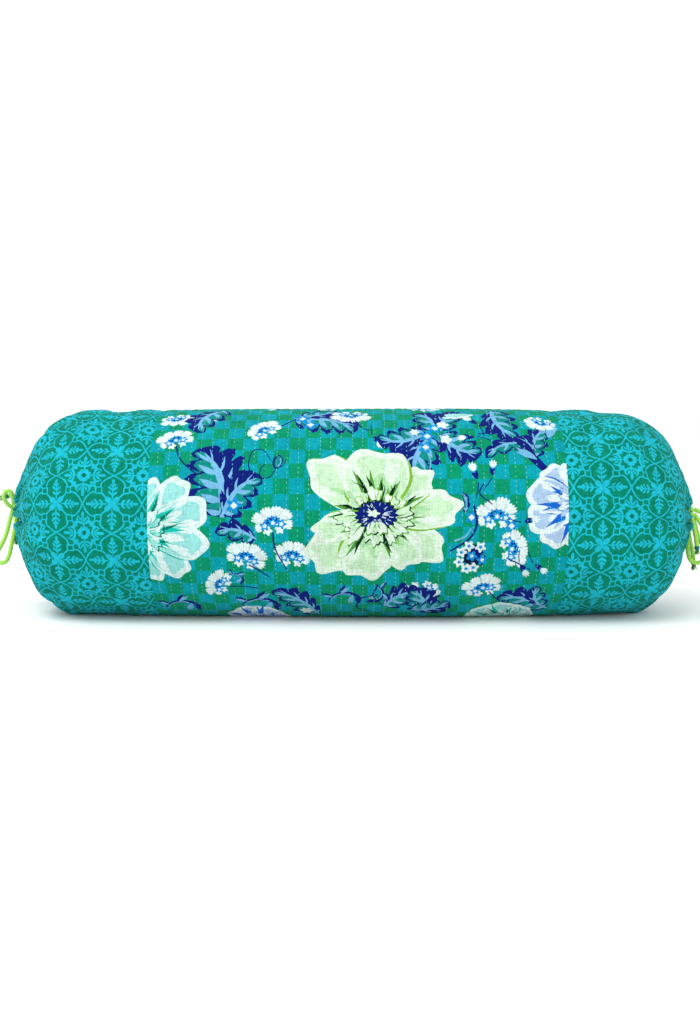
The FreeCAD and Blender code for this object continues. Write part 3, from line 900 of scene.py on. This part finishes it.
POPPY = ("pale", "mint", "leafy", "lemon", "olive")
SEAFOAM = ("foam", "aqua", "foam", "sea", "sea")
PORCELAIN = ("white", "ice", "white", "royal", "blue")


def around_heart(angle, radius, width, height):
    """A point on the oval heart of a flower, with the angle in degrees from straight up."""
    a = math.radians(angle)
    return radius * np.array([-math.sin(a) * width, math.cos(a) * height])


def ruff(angles, radius, squash, seed, inks, dark, long=(12, 20)):
    """Small petals round the heart of a flower, each with a dark edge."""
    rng = np.random.default_rng(seed)
    shapes = []
    for k, a in enumerate(angles):
        a = a + rng.uniform(-5, 5)
        base = around_heart(a, radius, 1.25, squash)
        reach, wide = rng.uniform(*long), rng.uniform(8.5, 12)
        edge, face = (petal(reach + more, wide + more, 0.14, 5, k, 0.5, 22) for more in (1.2, 0))
        vein = stroke([(1.8, 2), (2.4, reach * 0.4), (1.4, reach * 0.62)], 1.3, 0.3)
        shapes.append((dark if k % 2 else inks[2], moved(edge, base + (0.5, -0.4), a)))
        shapes.append((inks[k % 2], moved(face, base, a)))
        shapes.append((inks[2], moved(vein, base, a)))
    return shapes


def big_flower(x, y):
    """The large open flower: broad petals, an inner ruff, and a dark heart with pale stamens."""
    rng = np.random.default_rng(21)
    shapes = []
    petals = [
        (50, 80, 54, 1), (128, 78, 60, 2), (-122, 74, 46, 9), (-142, 60, 50, 3), (-84, 80, 46, 4),
        (-52, 66, 40, 5), (2, 64, 86, 6), (166, 64, 64, 8), (106, 62, 34, 7),
    ]  # fmt: skip
    for angle, long, wide, seed in petals:
        shapes += painted_petal((0, 0), angle, long, wide, seed, POPPY)
    gaps = (28, 76, 92, 118, 146, -158, -128, -104, -68, -34, 10, -12)
    shapes += crevices(gaps, 13, ("olive", "black", "black"), 4)
    for k in range(30):
        a = k / 30 * 360 + rng.uniform(-6, 6)
        ink = ("black", "olive", "lemon", "black")[k % 4]
        ray = stroke([(0, -3), (0.8, 3), (0, rng.uniform(6, 13))], 4.2, 0.4)
        shapes.append((ink, moved(ray, around_heart(a, 15, 1.3, 0.8), a)))
    shapes += ruff(range(-60, 61, 17), 16, 0.85, 5, ("pale", "mint", "lemon"), "olive", (7, 12))
    shapes += ruff(range(84, 280, 15), 14, 0.8, 6, ("pale", "mint", "olive"), "black", (13, 22))
    shapes.append(("black", star(20, 19, 0.16) * (1.06, 0.72)))
    shapes.append(("navy", star(18.6, 17, 0.12) * (1.05, 0.7)))
    for k in range(56):
        a = rng.uniform(0, TAU)
        low = rng.uniform(0.3, 0.75)
        p = np.array([math.cos(a) * 18.5, math.sin(a) * 12.4])
        ink = ("white", "ice", "white", "black")[k % 4]
        shapes.append((ink, stroke([p * low, p * (low + 0.1), p * min(low + 0.22, 0.98)], 0.7, 0.35)))
    shapes.append(("pale", moved(star(4.6, 5, 0.4), (-2, 2)) * (1.4, 0.8)))
    shapes += ruff((160, 186, 205), 7, 0.9, 7, ("pale", "mint", "olive"), "black", (9, 12))
    return [(ink, moved(s, (x, y))) for ink, s in shapes]


HALF_FLOWER_PETALS = [  # how far each leans, its length and its width
    (78, 46, 30), (-78, 50, 30), (50, 57, 40), (-50, 55, 40), (20, 60, 42), (-16, 58, 44),
]  # fmt: skip


def half_flower(x, y, facing, inks, dark, reach=1.0):
    """A flower that the seam cuts: its petals all face one way."""
    shapes = []
    for k, (lean, long, wide) in enumerate(HALF_FLOWER_PETALS):
        shapes += painted_petal((0, 0), facing + lean, long * reach, wide, 30 + k, inks, 0.03)
    gaps = [facing + lean for lean in (64, 36, 3, -34, -66)]
    shapes += crevices(gaps, 7, (inks[3], dark), 9)
    small = [facing + lean for lean in range(-75, 76, 22)]
    shapes += ruff(small, 4, 1.0, 8, (inks[0], inks[1], inks[3]), dark, (12, 20))
    return [(ink, moved(s, (x, y))) for ink, s in shapes]


def stem(*points, wide=1.2, ink="navy"):
    return [(ink, stroke(points, wide, wide * 0.7, 0.3))]


SPRAY_STARS = [(-9, 5), (-2, 11), (9, 10), (-11, -5), (11, -3), (3, -11), (-4, -12), (1, 1)]


def spray(x, y):
    """A cluster of small white stars on a dark leaf."""
    shapes = [("dark", moved(star(13, 9, 0.35), (2, 0))), ("navy", moved(star(8, 7, 0.4), (5, 5)))]
    for k, (px, py) in enumerate(SPRAY_STARS):
        outer, inner = ("blue", "white") if k in (7, 4) else ("white", "blue")
        shapes.append((outer, moved(star(5.6, 5, 0.42, k), (px, py))))
        shapes.append((inner, moved(star(1.9, 5, 0.3, k), (px, py))))
    return [(ink, s + (x, y)) for ink, s in shapes]


REPEAT = GIRTH / 2 / MM


def middle_print():
    """The flowers of one repeat, in millimetres from the middle of the roll and up from its front."""
    return [
        *stem((-172, 84), (-166, 66), (-150, 50), (-134, 44)),
        *stem((-118, 16), (-112, 2), (-104, -8), wide=1.8), *leaf(-124, 8, 22, 74, 62, 5),
        *leaf(-124, 10, -48, 52, 38, 4, flip=-1), *leaf(-92, -12, 84, 40, 22, 3),
        *floret(-113, 19, 8), *closed_bud(-74, 54, -14),
        *stem((-98, 50), (-100, 60), (-96, 74), (-86, 74), (-78, 62), wide=0.9),
        *leaf(-58, 122, -112, 66, 46, 5, flip=-1), *leaf(-52, 128, -60, 40, 26, 3),
        *floret(-50, 122, 8), *floret(-42, 110, 8.5), *stem((-84, 98), (-70, 108), (-56, 122)),
        *carnation(-86, 100, 38), *carnation(-2, 132, 178, 1.12), *bud(20, 92, -150),
        *stem((2, 118), (8, 106), (16, 100)), *leaf(76, 92, 166, 58, 44, 4),
        *leaf(72, 96, 96, 50, 36, 4, flip=-1), *leaf(84, 94, -118, 46, 38, 4),
        *leaf(80, 100, 28, 40, 34, 3), *leaf(86, 100, -30, 46, 30, 3, flip=-1),
        ("sky", moved(stroke([(0, 0), (10, -20), (6, -44)], 1.2, 0.6), (64, 84))),
        *floret(72, 92, 8.5), *floret(80, 104, 8), *floret(70, 78, 8),
        ("white", moved(star(6, 5, 0.35), (90, 88))), ("white", moved(star(5, 6, 0.4), (60, 98))),
        ("white", moved(star(6.5, 5, 0.4), (88, 110))), *bud(118, 92, 96), *bud(122, 112, 40, 1.1),
        *stem((122, 96), (142, 98), (158, 92), (176, 80), wide=1.4), *leaf(166, 86, 120, 44, 20, 3),
        *leaf(172, 68, -30, 44, 26, 4, flip=-1), *leaf(176, 76, 60, 30, 16, 3),
        ("navy", stroke([(150, 94), (164, 84), (172, 68), (186, 52)], 2, 6, 5)),
        ("sky", moved(petal(24, 13, 0.16, 7), (190, 92), -20)),
        ("sky", moved(petal(20, 10, 0.16, 7), (176, 66), 60)),
        *carnation(186, 118, 150, 0.95), *carnation(-176, 126, 200, 0.95), *bud(-146, 118, -70, 0.9),
        *half_flower(-200, -4, -90, SEAFOAM, "deep", 1.1),
        *half_flower(214, 20, 90, PORCELAIN, "royal", 0.86), *carnation(-172, 88, 20),
        *carnation(-76, 2, 8, 1.1), *carnation(-102, -32, -14, 1.1), *carnation(-58, -30, -4, 1.05),
        *carnation(-128, -62, 66, 0.95), *stem((-76, -6), (-74, -22), (-62, -46)),
        *stem((-100, -38), (-88, -46), (-80, -52)),
        *stem((-120, -64), (-104, -64), (-92, -66), wide=1.6), *scroll(-120, -50, -30, 0.5),
        *carnation(136, 8, 4, 1.15), *floret(112, 8, 7), *floret(150, 0, 7, phase=1),
        *stem((124, 40), (120, 30), (132, 20)), *bud(118, 44, 18, 1.05), *bud(132, 48, -8, 0.95),
        *stem((114, 20), (117, 2), (110, -12), (92, -24), wide=2), *leaf(106, 12, 10, 20, 8, 2),
        ("sky", stroke([(112, -2), (106, -10), (96, -14)], 0.8, 1.8)), *spray(112, -30),
        *carnation(150, -22, -78, 1.1), *bud(162, 4, -78, 0.9), *bud(160, -38, -150, 0.9),
        *bud(174, -38, -128, 0.9), *stem((148, -32), (160, -38), (170, -44)),
        *carnation(66, -66, 186, 1.1), *carnation(126, -66, 16, 1.1),
        *stem((132, -70), (144, -84), (166, -92)), *leaf(192, -100, 70, 56, 36, 4),
        *leaf(186, -96, 10, 34, 22, 3, flip=-1), *leaf(30, -92, -60, 44, 34, 4, flip=-1),
        *leaf(70, -104, 20, 40, 38, 4), *leaf(58, -100, -66, 40, 30, 4), *scroll(-24, -84, 10, 0.95),
        *scroll(-186, -100, 6, 1.05), *scroll(-110, -94, 0, 1.15), *scroll(22, -60, -96, 0.8),
        *leaf(-34, -112, 50, 62, 34, 5), ("white", moved(star(7, 6, 0.4), (-46, -104))),
        *stem((24, -60), (20, -76), (30, -92), wide=1.6),
        *stem((24, -74), (8, -80), (4, -96), (18, -104), wide=1.6),
        *half_flower(150, -128, 20, SEAFOAM, "deep", 0.7),
        *half_flower(-96, -132, -10, PORCELAIN, "royal", 0.62), *carnation(24, -136, 170),
        *carnation(-160, -146, 60), *bud(70, -146, 20), *carnation(-20, 162, 40),
        *leaf(140, 146, 200, 60, 40, 4), *leaf(-130, 150, 160, 56, 38, 4), *carnation(70, 156, -30),
        *bud(-70, 158, 100),
        ("foam", moved(petal(30, 16, 0.1, 6), (120, 132), 100)),
        ("aqua", moved(petal(26, 10, 0.1, 6), (118, 133), 100)),
        *big_flower(22, 10),
    ]  # fmt: skip


TILES_ROUND = 12
TILE = GIRTH / TILES_ROUND / MM
CROSS_COLUMN = 33  # the first column of crosses, from the seam
CROSS_ROW = {-1: 20.5, 1: 37}


def tile_print(up_shift):
    """One square of the end panels' print: crosses, pointed frames with sprigs in them, and a rosette."""
    half = TILE / 2
    lines = []

    def add(shape, at=(0, 0), angle=0.0, flip=1):
        lines.append(moved(shape, at, angle, 1.0, flip))

    def leaflet(long, wide, points=12):
        return petal(long, wide, 0, 3, 0, 0.7, points)

    for quarter in range(4):
        turn = quarter * 90
        corner = moved([(13.2, 13.2)], (0, 0), turn)[0]
        add(petal(9.2, 6.2, 0.02, 3, 0, 0.75, 18), (0, 0), turn + 45)
        add(stroke([(6.2, 6.2), (8.4, 8.4), (10.9, 10.9)], 1.5), (0, 0), turn)
        for side in range(4):
            add([(-3.0, 2.2), (-3.0, 3.5), (3.0, 3.5), (3.0, 2.2)], corner, turn + side * 90)
        for flip in (1, -1):
            add(stroke([(11.6, 16.2), (10.6, 20.4), (6.2, 24.6), (0, half)], 1.5, 1.3), (0, 0), turn, flip)
            for up, long, lean in ((9.6, 5.4, 48), (14.2, 5.8, 48), (18.0, 3.8, 42)):
                add(moved(leaflet(long, 2.7), (0.2, up - 1), -lean), (0, 0), turn, flip)
        add(stroke([(0, 5), (0, 12), (0, 20)], 1.1, 1.2), (0, 0), turn)
        add(moved(leaflet(5.8, 3.4), (0, 18.8)), (0, 0), turn)
        # The rosette's sprigs, about the middle of the square.
        middle = (half, half)
        add(stroke([(0, 5.5), (0, 9.5), (0, 12.5)], 1.2, 1.0), middle, turn)
        add(moved(leaflet(8.6, 3.6), (0, 12.2)), middle, turn)
        for flip in (1, -1):
            add(stroke([(0.3, 9), (4.2, 10.2), (6.2, 13.4), (4.4, 16.6)], 1.7, 0.8, 0.7), middle, turn, flip)
            add(moved(leaflet(5.0, 2.6), (1.0, 11.0), -36), middle, turn, flip)
            add(moved(leaflet(3.6, 2.0), (4.6, 10.8), -115), middle, turn, flip)
        spot = moved([(9.2, 9.2)], middle, turn)[0]
        for k in range(4):
            add(petal(3.9, 2.7, 0, 3, 0, 0.8, 10), spot, turn + 45 + 90 * k)
        for k in (0, 1):
            add(petal(6.6, 5.0, 0, 3, 0, 0.85, 14), middle, turn + 22.5 + 45 * k)
    shapes = [("turquoise", s) for s in lines] + [("forest", moved(star(2.3, 4, 0.1), (half, half)))]
    return [(ink, s + (CROSS_COLUMN, up_shift)) for ink, s in shapes]


# ---- cloth ----
def thinned(shape, allowed):
    """An outline without the points that hardly change it."""
    for start in (0, 1, 0, 1):
        if len(shape) < 6:
            break
        before, after = np.roll(shape, 1, 0), np.roll(shape, -1, 0)
        chord, arm = after - before, shape - before
        off = np.abs(chord[:, 0] * arm[:, 1] - chord[:, 1] * arm[:, 0])
        drop = off / (np.linalg.norm(chord, axis=1) + 1e-9) < allowed
        drop[start::2] = False
        shape = shape[~drop]
    return shape


def painted(places, shapes):
    """Which shape is on top at each place, or -1 for bare ground."""
    top = np.full(len(places), -1)
    for index, (_, shape) in enumerate(shapes):
        near = np.nonzero(((places > shape.min(0)) & (places < shape.max(0))).all(1))[0]
        x, y = places[near, 0][:, None], places[near, 1][:, None]
        (ax, ay), (bx, by) = shape.T, np.roll(shape, -1, 0).T
        side = (bx - ax) * (y - ay) - (x - ax) * (by - ay)
        turns = ((ay <= y) & (by > y) & (side > 0)).sum(1) - ((ay > y) & (by <= y) & (side < 0)).sum(1)
        top[near[turns != 0]] = index
    return top


def triangulated(points, edges, low, high):
    """Triangles that keep to these edges, inside a rectangle."""
    vectors = [Vector((float(x), float(y))) for x, y in points]
    flat, _, triangles, *_ = delaunay_2d_cdt(vectors, edges, [], 0, 1e-4, False)
    flat, triangles = np.array([tuple(v) for v in flat]), np.array(triangles)
    corners = flat[triangles]
    one, two = corners[:, 1] - corners[:, 0], corners[:, 2] - corners[:, 0]
    area, middle = np.abs(one[:, 0] * two[:, 1] - one[:, 1] * two[:, 0]), corners.mean(1)
    inside = ((middle > low) & (middle < high)).all(1) & (area > 1e-6)
    return flat, triangles[inside], middle[inside]


def cut_out(shapes, low, high, columns, rows):
    """A rectangle of flat cloth cut along the outlines that show on it, in painter's order. Millimetres."""
    xs, ys = np.linspace(low[0], high[0], columns + 1), np.linspace(low[1], high[1], rows + 1)
    grid = np.stack(np.meshgrid(xs, ys, indexing="ij"), -1).reshape(-1, 2)
    count = rows + 1
    border = [(i * count + j, (i + 1) * count + j) for i in range(columns) for j in (0, rows)]
    border += [(i * count + j, i * count + j + 1) for i in (0, columns) for j in range(rows)]
    reaches = [(shape.max(0) > low).all() and (shape.min(0) < high).all() for _, shape in shapes]
    here = [painting for painting, near in zip(shapes, reaches) if near]
    points, edges, start = [grid], list(border), len(grid)
    for _, shape in here:
        n = len(shape)
        points.append(shape)
        edges += [(start + i, start + (i + 1) % n) for i in range(n)]
        start += n
    flat, triangles, middle = triangulated(np.concatenate(points), edges, low, high)
    inks = np.array([list(INK).index(ink) for ink, _ in here] + [-1])
    ink = inks[painted(middle, here)]
    # Only the edges between two colours are kept, which drops what later shapes cover.
    sides = np.sort(triangles[:, [[0, 1], [1, 2], [2, 0]]].reshape(-1, 2), axis=1)
    owner = np.repeat(ink, 3)
    order = np.lexsort(sides.T)
    sides, owner = sides[order], owner[order]
    seam = (sides[1:] == sides[:-1]).all(1) & (owner[1:] != owner[:-1])
    ends, edges = np.unique(sides[1:][seam], return_inverse=True)
    edges = (edges.reshape(-1, 2) + len(grid)).tolist()
    flat, triangles, middle = triangulated(np.concatenate([grid, flat[ends]]), border + edges, low, high)
    palette = np.array([*INK.values(), (0, 0, 0, 0)])
    return flat, triangles, palette[inks[painted(middle, here)]]


def sewn(pieces):
    """Joins rectangles of flat cloth where their edges meet."""
    points, faces, start = [], [], 0
    for flat, triangles, _ in pieces:
        points.append(flat)
        faces.append(triangles + start)
        start += len(flat)
    points, faces = np.concatenate(points), np.concatenate(faces)
    _, first, where = np.unique(np.round(points, 3), axis=0, return_index=True, return_inverse=True)
    faces = where.reshape(-1)[faces]
    solid = (faces[:, 0] != faces[:, 1]) & (faces[:, 1] != faces[:, 2]) & (faces[:, 0] != faces[:, 2])
    return points[first], faces[solid], np.concatenate([colours for *_, colours in pieces])[solid]


def cloth(name, surface, flat, triangles, colours, material, slot):
    """Lays flat printed cloth on a surface, with the surface's own normals."""
    used, triangles = np.unique(triangles, return_inverse=True)
    triangles = triangles.reshape(-1, 3)
    uv = flat[used] * MM
    points = surface(uv[:, 0], uv[:, 1])
    step = 0.35 * MM
    across = surface(uv[:, 0] + step, uv[:, 1]) - surface(uv[:, 0] - step, uv[:, 1])
    around = surface(uv[:, 0], uv[:, 1] + step) - surface(uv[:, 0], uv[:, 1] - step)
    normals = np.cross(across, around)
    first, second, third = (points[triangles[:, corner]] for corner in range(3))
    facing = np.cross(second - first, third - first)
    if (facing * normals[triangles[:, 0]]).sum() < 0:
        triangles = triangles[:, ::-1]
    away = points - np.array([0, 0, AXIS_Z])
    away[:, 0] = 0
    if (normals * away).sum() < 0:
        normals, triangles = -normals, triangles[:, ::-1]
    normals /= np.linalg.norm(normals, axis=1)[:, None] + 1e-12
    obj = mesh_object(name, points, triangles.tolist(), material, slot)
    obj.data.normals_split_custom_set_from_vertices([tuple(n) for n in normals])
    add_attribute(obj, "cloth", "FLOAT_VECTOR", "POINT", np.column_stack([uv, np.zeros(len(uv))]))
    add_attribute(obj, "ink", "FLOAT_COLOR", "CORNER", np.repeat(colours, 3, axis=0))
    return obj


def middle_cloth():
    offset = -SEAM[-1] / MM  # the print is centred on the roll, not on the panel
    motifs = [(ink, thinned(shape, 0.16)) for ink, shape in middle_print()]
    shapes = [(ink, shape + (offset, k * REPEAT)) for k in (-1, 0, 1) for ink, shape in motifs]
    low = V_LOW / MM
    across, up = 8, 7
    width, height = PANEL_WIDTH / MM / across, REPEAT / up
    pieces = []
    for i in range(across):
        for j in range(up):
            corner = np.array([i * width, low + j * height])
            flat, triangles, colours = cut_out(shapes, corner, corner + (width, height), 19, 13)
            pieces += [(flat, triangles, colours), (flat + (0, REPEAT), triangles, colours)]
    return cloth("printed_middle_panel", middle_surface, *sewn(pieces), PRINTED, "printed_cotton")


def end_cloth(name, side):
    up_shift = (CROSS_ROW[side] - V_LOW / MM) % TILE
    motifs = [(ink, thinned(shape, 0.07)) for ink, shape in tile_print(up_shift)]
    around = (-2, -1, 0, 1)
    shapes = [(ink, shape + (i * TILE, j * TILE)) for ink, shape in motifs for i in around for j in around]
    flat, triangles, colours = cut_out(shapes, np.zeros(2), np.array([TILE, TILE]), 20, 20)
    along = OUTLINE[side][0][-1]
    settling = settled_gathers(side)
    pieces = []
    for i in range(math.ceil(along / MM / TILE)):
        kept = (flat[triangles][:, :, 0].mean(1) + i * TILE) * MM < along
        for j in range(TILES_ROUND):
            pieces.append((flat + (i * TILE, j * TILE + V_LOW / MM), triangles[kept], colours[kept]))
    points, faces, inks = sewn(pieces)
    points[:, 0] = np.minimum(points[:, 0], along / MM)

    def surface(u, v):
        return stuffed_end(side, settling, np.clip(u, 0, along), v)

    return cloth(f"gathered_{name}_end_panel", surface, points, faces, inks, TILED, "end_cotton")


middle = middle_cloth()
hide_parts("middle_panel")
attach(middle, "pillow")
for name, side in SIDES.items():
    panel = end_cloth(name, side)
    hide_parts(f"{name}_end_panel")
    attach(panel, "pillow")


# ---- stitching ----
STITCH_LENGTH = 2.3 * MM
STITCH_PITCH = 5.1 * MM


# One stitch of half size 1, and its faces.
STITCH_POINTS = np.array([
    (0, -1, 0), (-1, -0.6, 0.1), (0, -0.6, 1), (1, -0.6, 0.1),
    (-1, 0.6, 0.1), (0, 0.6, 1), (1, 0.6, 0.1), (0, 1, 0),
])  # fmt: skip
STITCH_FACES = [(0, 2, 1), (0, 3, 2), (1, 2, 5, 4), (2, 3, 6, 5), (4, 5, 7), (5, 6, 7)]


def running_stitches():
    rng = np.random.default_rng(3)
    points = []
    for row in range(ROWS):
        v = V_LOW + rng.uniform(2, 5) * MM
        drift, phase = rng.uniform(0.2, 0.6) * MM, rng.uniform(0, TAU)
        while v < V_HIGH - 4 * MM:
            long = STITCH_LENGTH * rng.uniform(0.8, 1.2)
            u = ROW_MARGIN + row * ROW_PITCH + drift * math.sin(v / (31 * MM) + phase)
            u += rng.normal(0, 0.12) * MM
            points.append(STITCH_POINTS * (0.27 * MM, long / 2, 0.28 * MM) + (u, v, 0))
            v += STITCH_PITCH * rng.uniform(0.88, 1.12)
    flat = np.concatenate(points)
    surface = middle_surface(flat[:, 0], flat[:, 1])
    out = surface - np.array([0, 0, AXIS_Z])
    out[:, 0] = 0
    out /= np.linalg.norm(out, axis=1)[:, None]
    made = surface + out * (flat[:, 2:3] + 0.05 * MM)
    made[:, 2] = np.maximum(made[:, 2], 0.1 * MM)
    faces = [tuple(i + 8 * k for i in f) for k in range(len(points)) for f in STITCH_FACES]
    obj = mesh_object("running_stitches", made, faces, STITCH, "thread")
    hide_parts("quilting_threads")
    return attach(obj, "pillow")


running_stitches()


# ---- the gathered mouth ----
def hem(name, side):
    """The hem channel, bunched up on its cord."""
    rng = np.random.default_rng(40 + side)
    around, section = 360, 18
    angle = np.linspace(0, TAU, around, endpoint=False)
    waves = (19, 24, 31, 37, 45)
    bunches = sum(rng.uniform(0.2, 0.5) * np.sin(k * angle + rng.uniform(0, TAU)) for k in waves)
    tube = np.linspace(0, TAU, section, endpoint=False)
    centre = 11.6 * MM + 0.5 * MM * bunches
    r = (3.5 + 0.75 * np.sin(26 * angle + bunches)[:, None] * (0.6 + 0.4 * np.cos(tube)[None, :])) * MM
    out = CHANNEL_X + 0.5 * MM * bunches[:, None] + r * np.sin(tube)[None, :]
    radial = centre[:, None] + r * np.cos(tube)[None, :]
    back, up = -radial * np.cos(angle)[:, None], radial * np.sin(angle)[:, None]
    points = np.stack([side * out, back, AXIS_Z + up], -1)
    faces = quads(around, section, joined=True)
    if side < 0:
        faces = [f[::-1] for f in faces]
    obj = mesh_object(f"{name}_bunched_hem", points.reshape(-1, 3), faces, TILED, "end_cotton")
    coordinates = np.stack(np.broadcast_arrays(tube[None, :] * 4 * MM, angle[:, None] * RADIUS, 0), -1)
    add_attribute(obj, "cloth", "FLOAT_VECTOR", "POINT", coordinates)
    spots = np.sin(26 * angle)[:, None] * np.sin(2 * tube + 3 * angle[:, None]) > 0.2
    colours = np.where(spots[..., None], np.array(INK["turquoise"]), np.array((0, 0, 0, 0)))
    add_attribute(obj, "ink", "FLOAT_COLOR", "POINT", colours)
    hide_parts(f"{name}_cord_channel", f"{name}_channel_stitching")
    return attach(obj, "pillow")


def drawcord(name, side):
    """The cord in the channel, with both its ends coming out to the knot."""
    ring = [math.radians(a) for a in range(100, 441, 20)]
    circle = [(-9, 12 * math.cos(a), 12 * math.sin(a)) for a in ring]
    out, _, up = KNOT[name]
    route = [
        (out, -2.6, up), (-2, -2.6, 12), (-7, -2.8, 12.6), *circle,
        (-7, 2.8, 12.6), (-2, 2.6, 12), (out, 2.6, up),
    ]  # fmt: skip
    obj, _ = cord_piece(f"{name}_drawcord", smooth_line([place(side, p) for p in route]))
    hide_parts(f"{name}_channel_cord", f"{name}_bow_neck")
    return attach(obj, "pillow")


for name, side in SIDES.items():
    hem(name, side)
    drawcord(name, side)

# ---- what is inside the cover ----
for node_name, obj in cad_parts.items():
    if obj.hide_render:
        continue
    if node_name == "fibre_filling":
        material = FIBRE
    elif "stitching" in node_name or node_name.startswith("inner_casing") and node_name.endswith("seam"):
        material = STITCH
    elif "allowance" in node_name:
        material = TURNED_IN
    else:
        material = CALICO
    obj.data.materials.clear()
    obj.data.materials.append(material)

# ---- stage and lights ----
FAR = 14.0
FLOOR_GREY = 0.93
SKY_STRENGTH = 1.08
pale = Look("pale_floor", 0.9, 0.0, 0.1)
pale.wire((FLOOR_GREY, FLOOR_GREY, FLOOR_GREY), pale.shader.inputs["Base Color"])
corners = [(-FAR, -FAR, 0), (FAR, -FAR, 0), (FAR, FAR, 0), (-FAR, FAR, 0)]
floor = mesh_object("floor", corners, [(0, 1, 2, 3)], pale.material)

world = bpy.data.worlds.new("studio")
world.use_nodes = True
background = world.node_tree.nodes["Background"]
background.inputs["Color"].default_value = (1, 1, 1, 1)
background.inputs["Strength"].default_value = SKY_STRENGTH
bpy.context.scene.world = world


def area_light(name, place_at, target_at, size, power):
    light = bpy.data.lights.new(name, "AREA")
    light.shape = "RECTANGLE"
    light.size, light.size_y = size
    light.energy = power
    obj = bpy.data.objects.new(name, light)
    bpy.context.scene.collection.objects.link(obj)
    obj.location = place_at
    look_at(obj, target_at)


area_light("key", (-0.8, -1.1, 1.9), (0, 0, AXIS_Z), (1.6, 1.0), 30)
area_light("fill", (1.4, -1.5, 0.9), (0, 0, AXIS_Z), (1.2, 1.2), 3)
bpy.context.scene.view_settings.view_transform = "Standard"

bpy.context.view_layer.update()
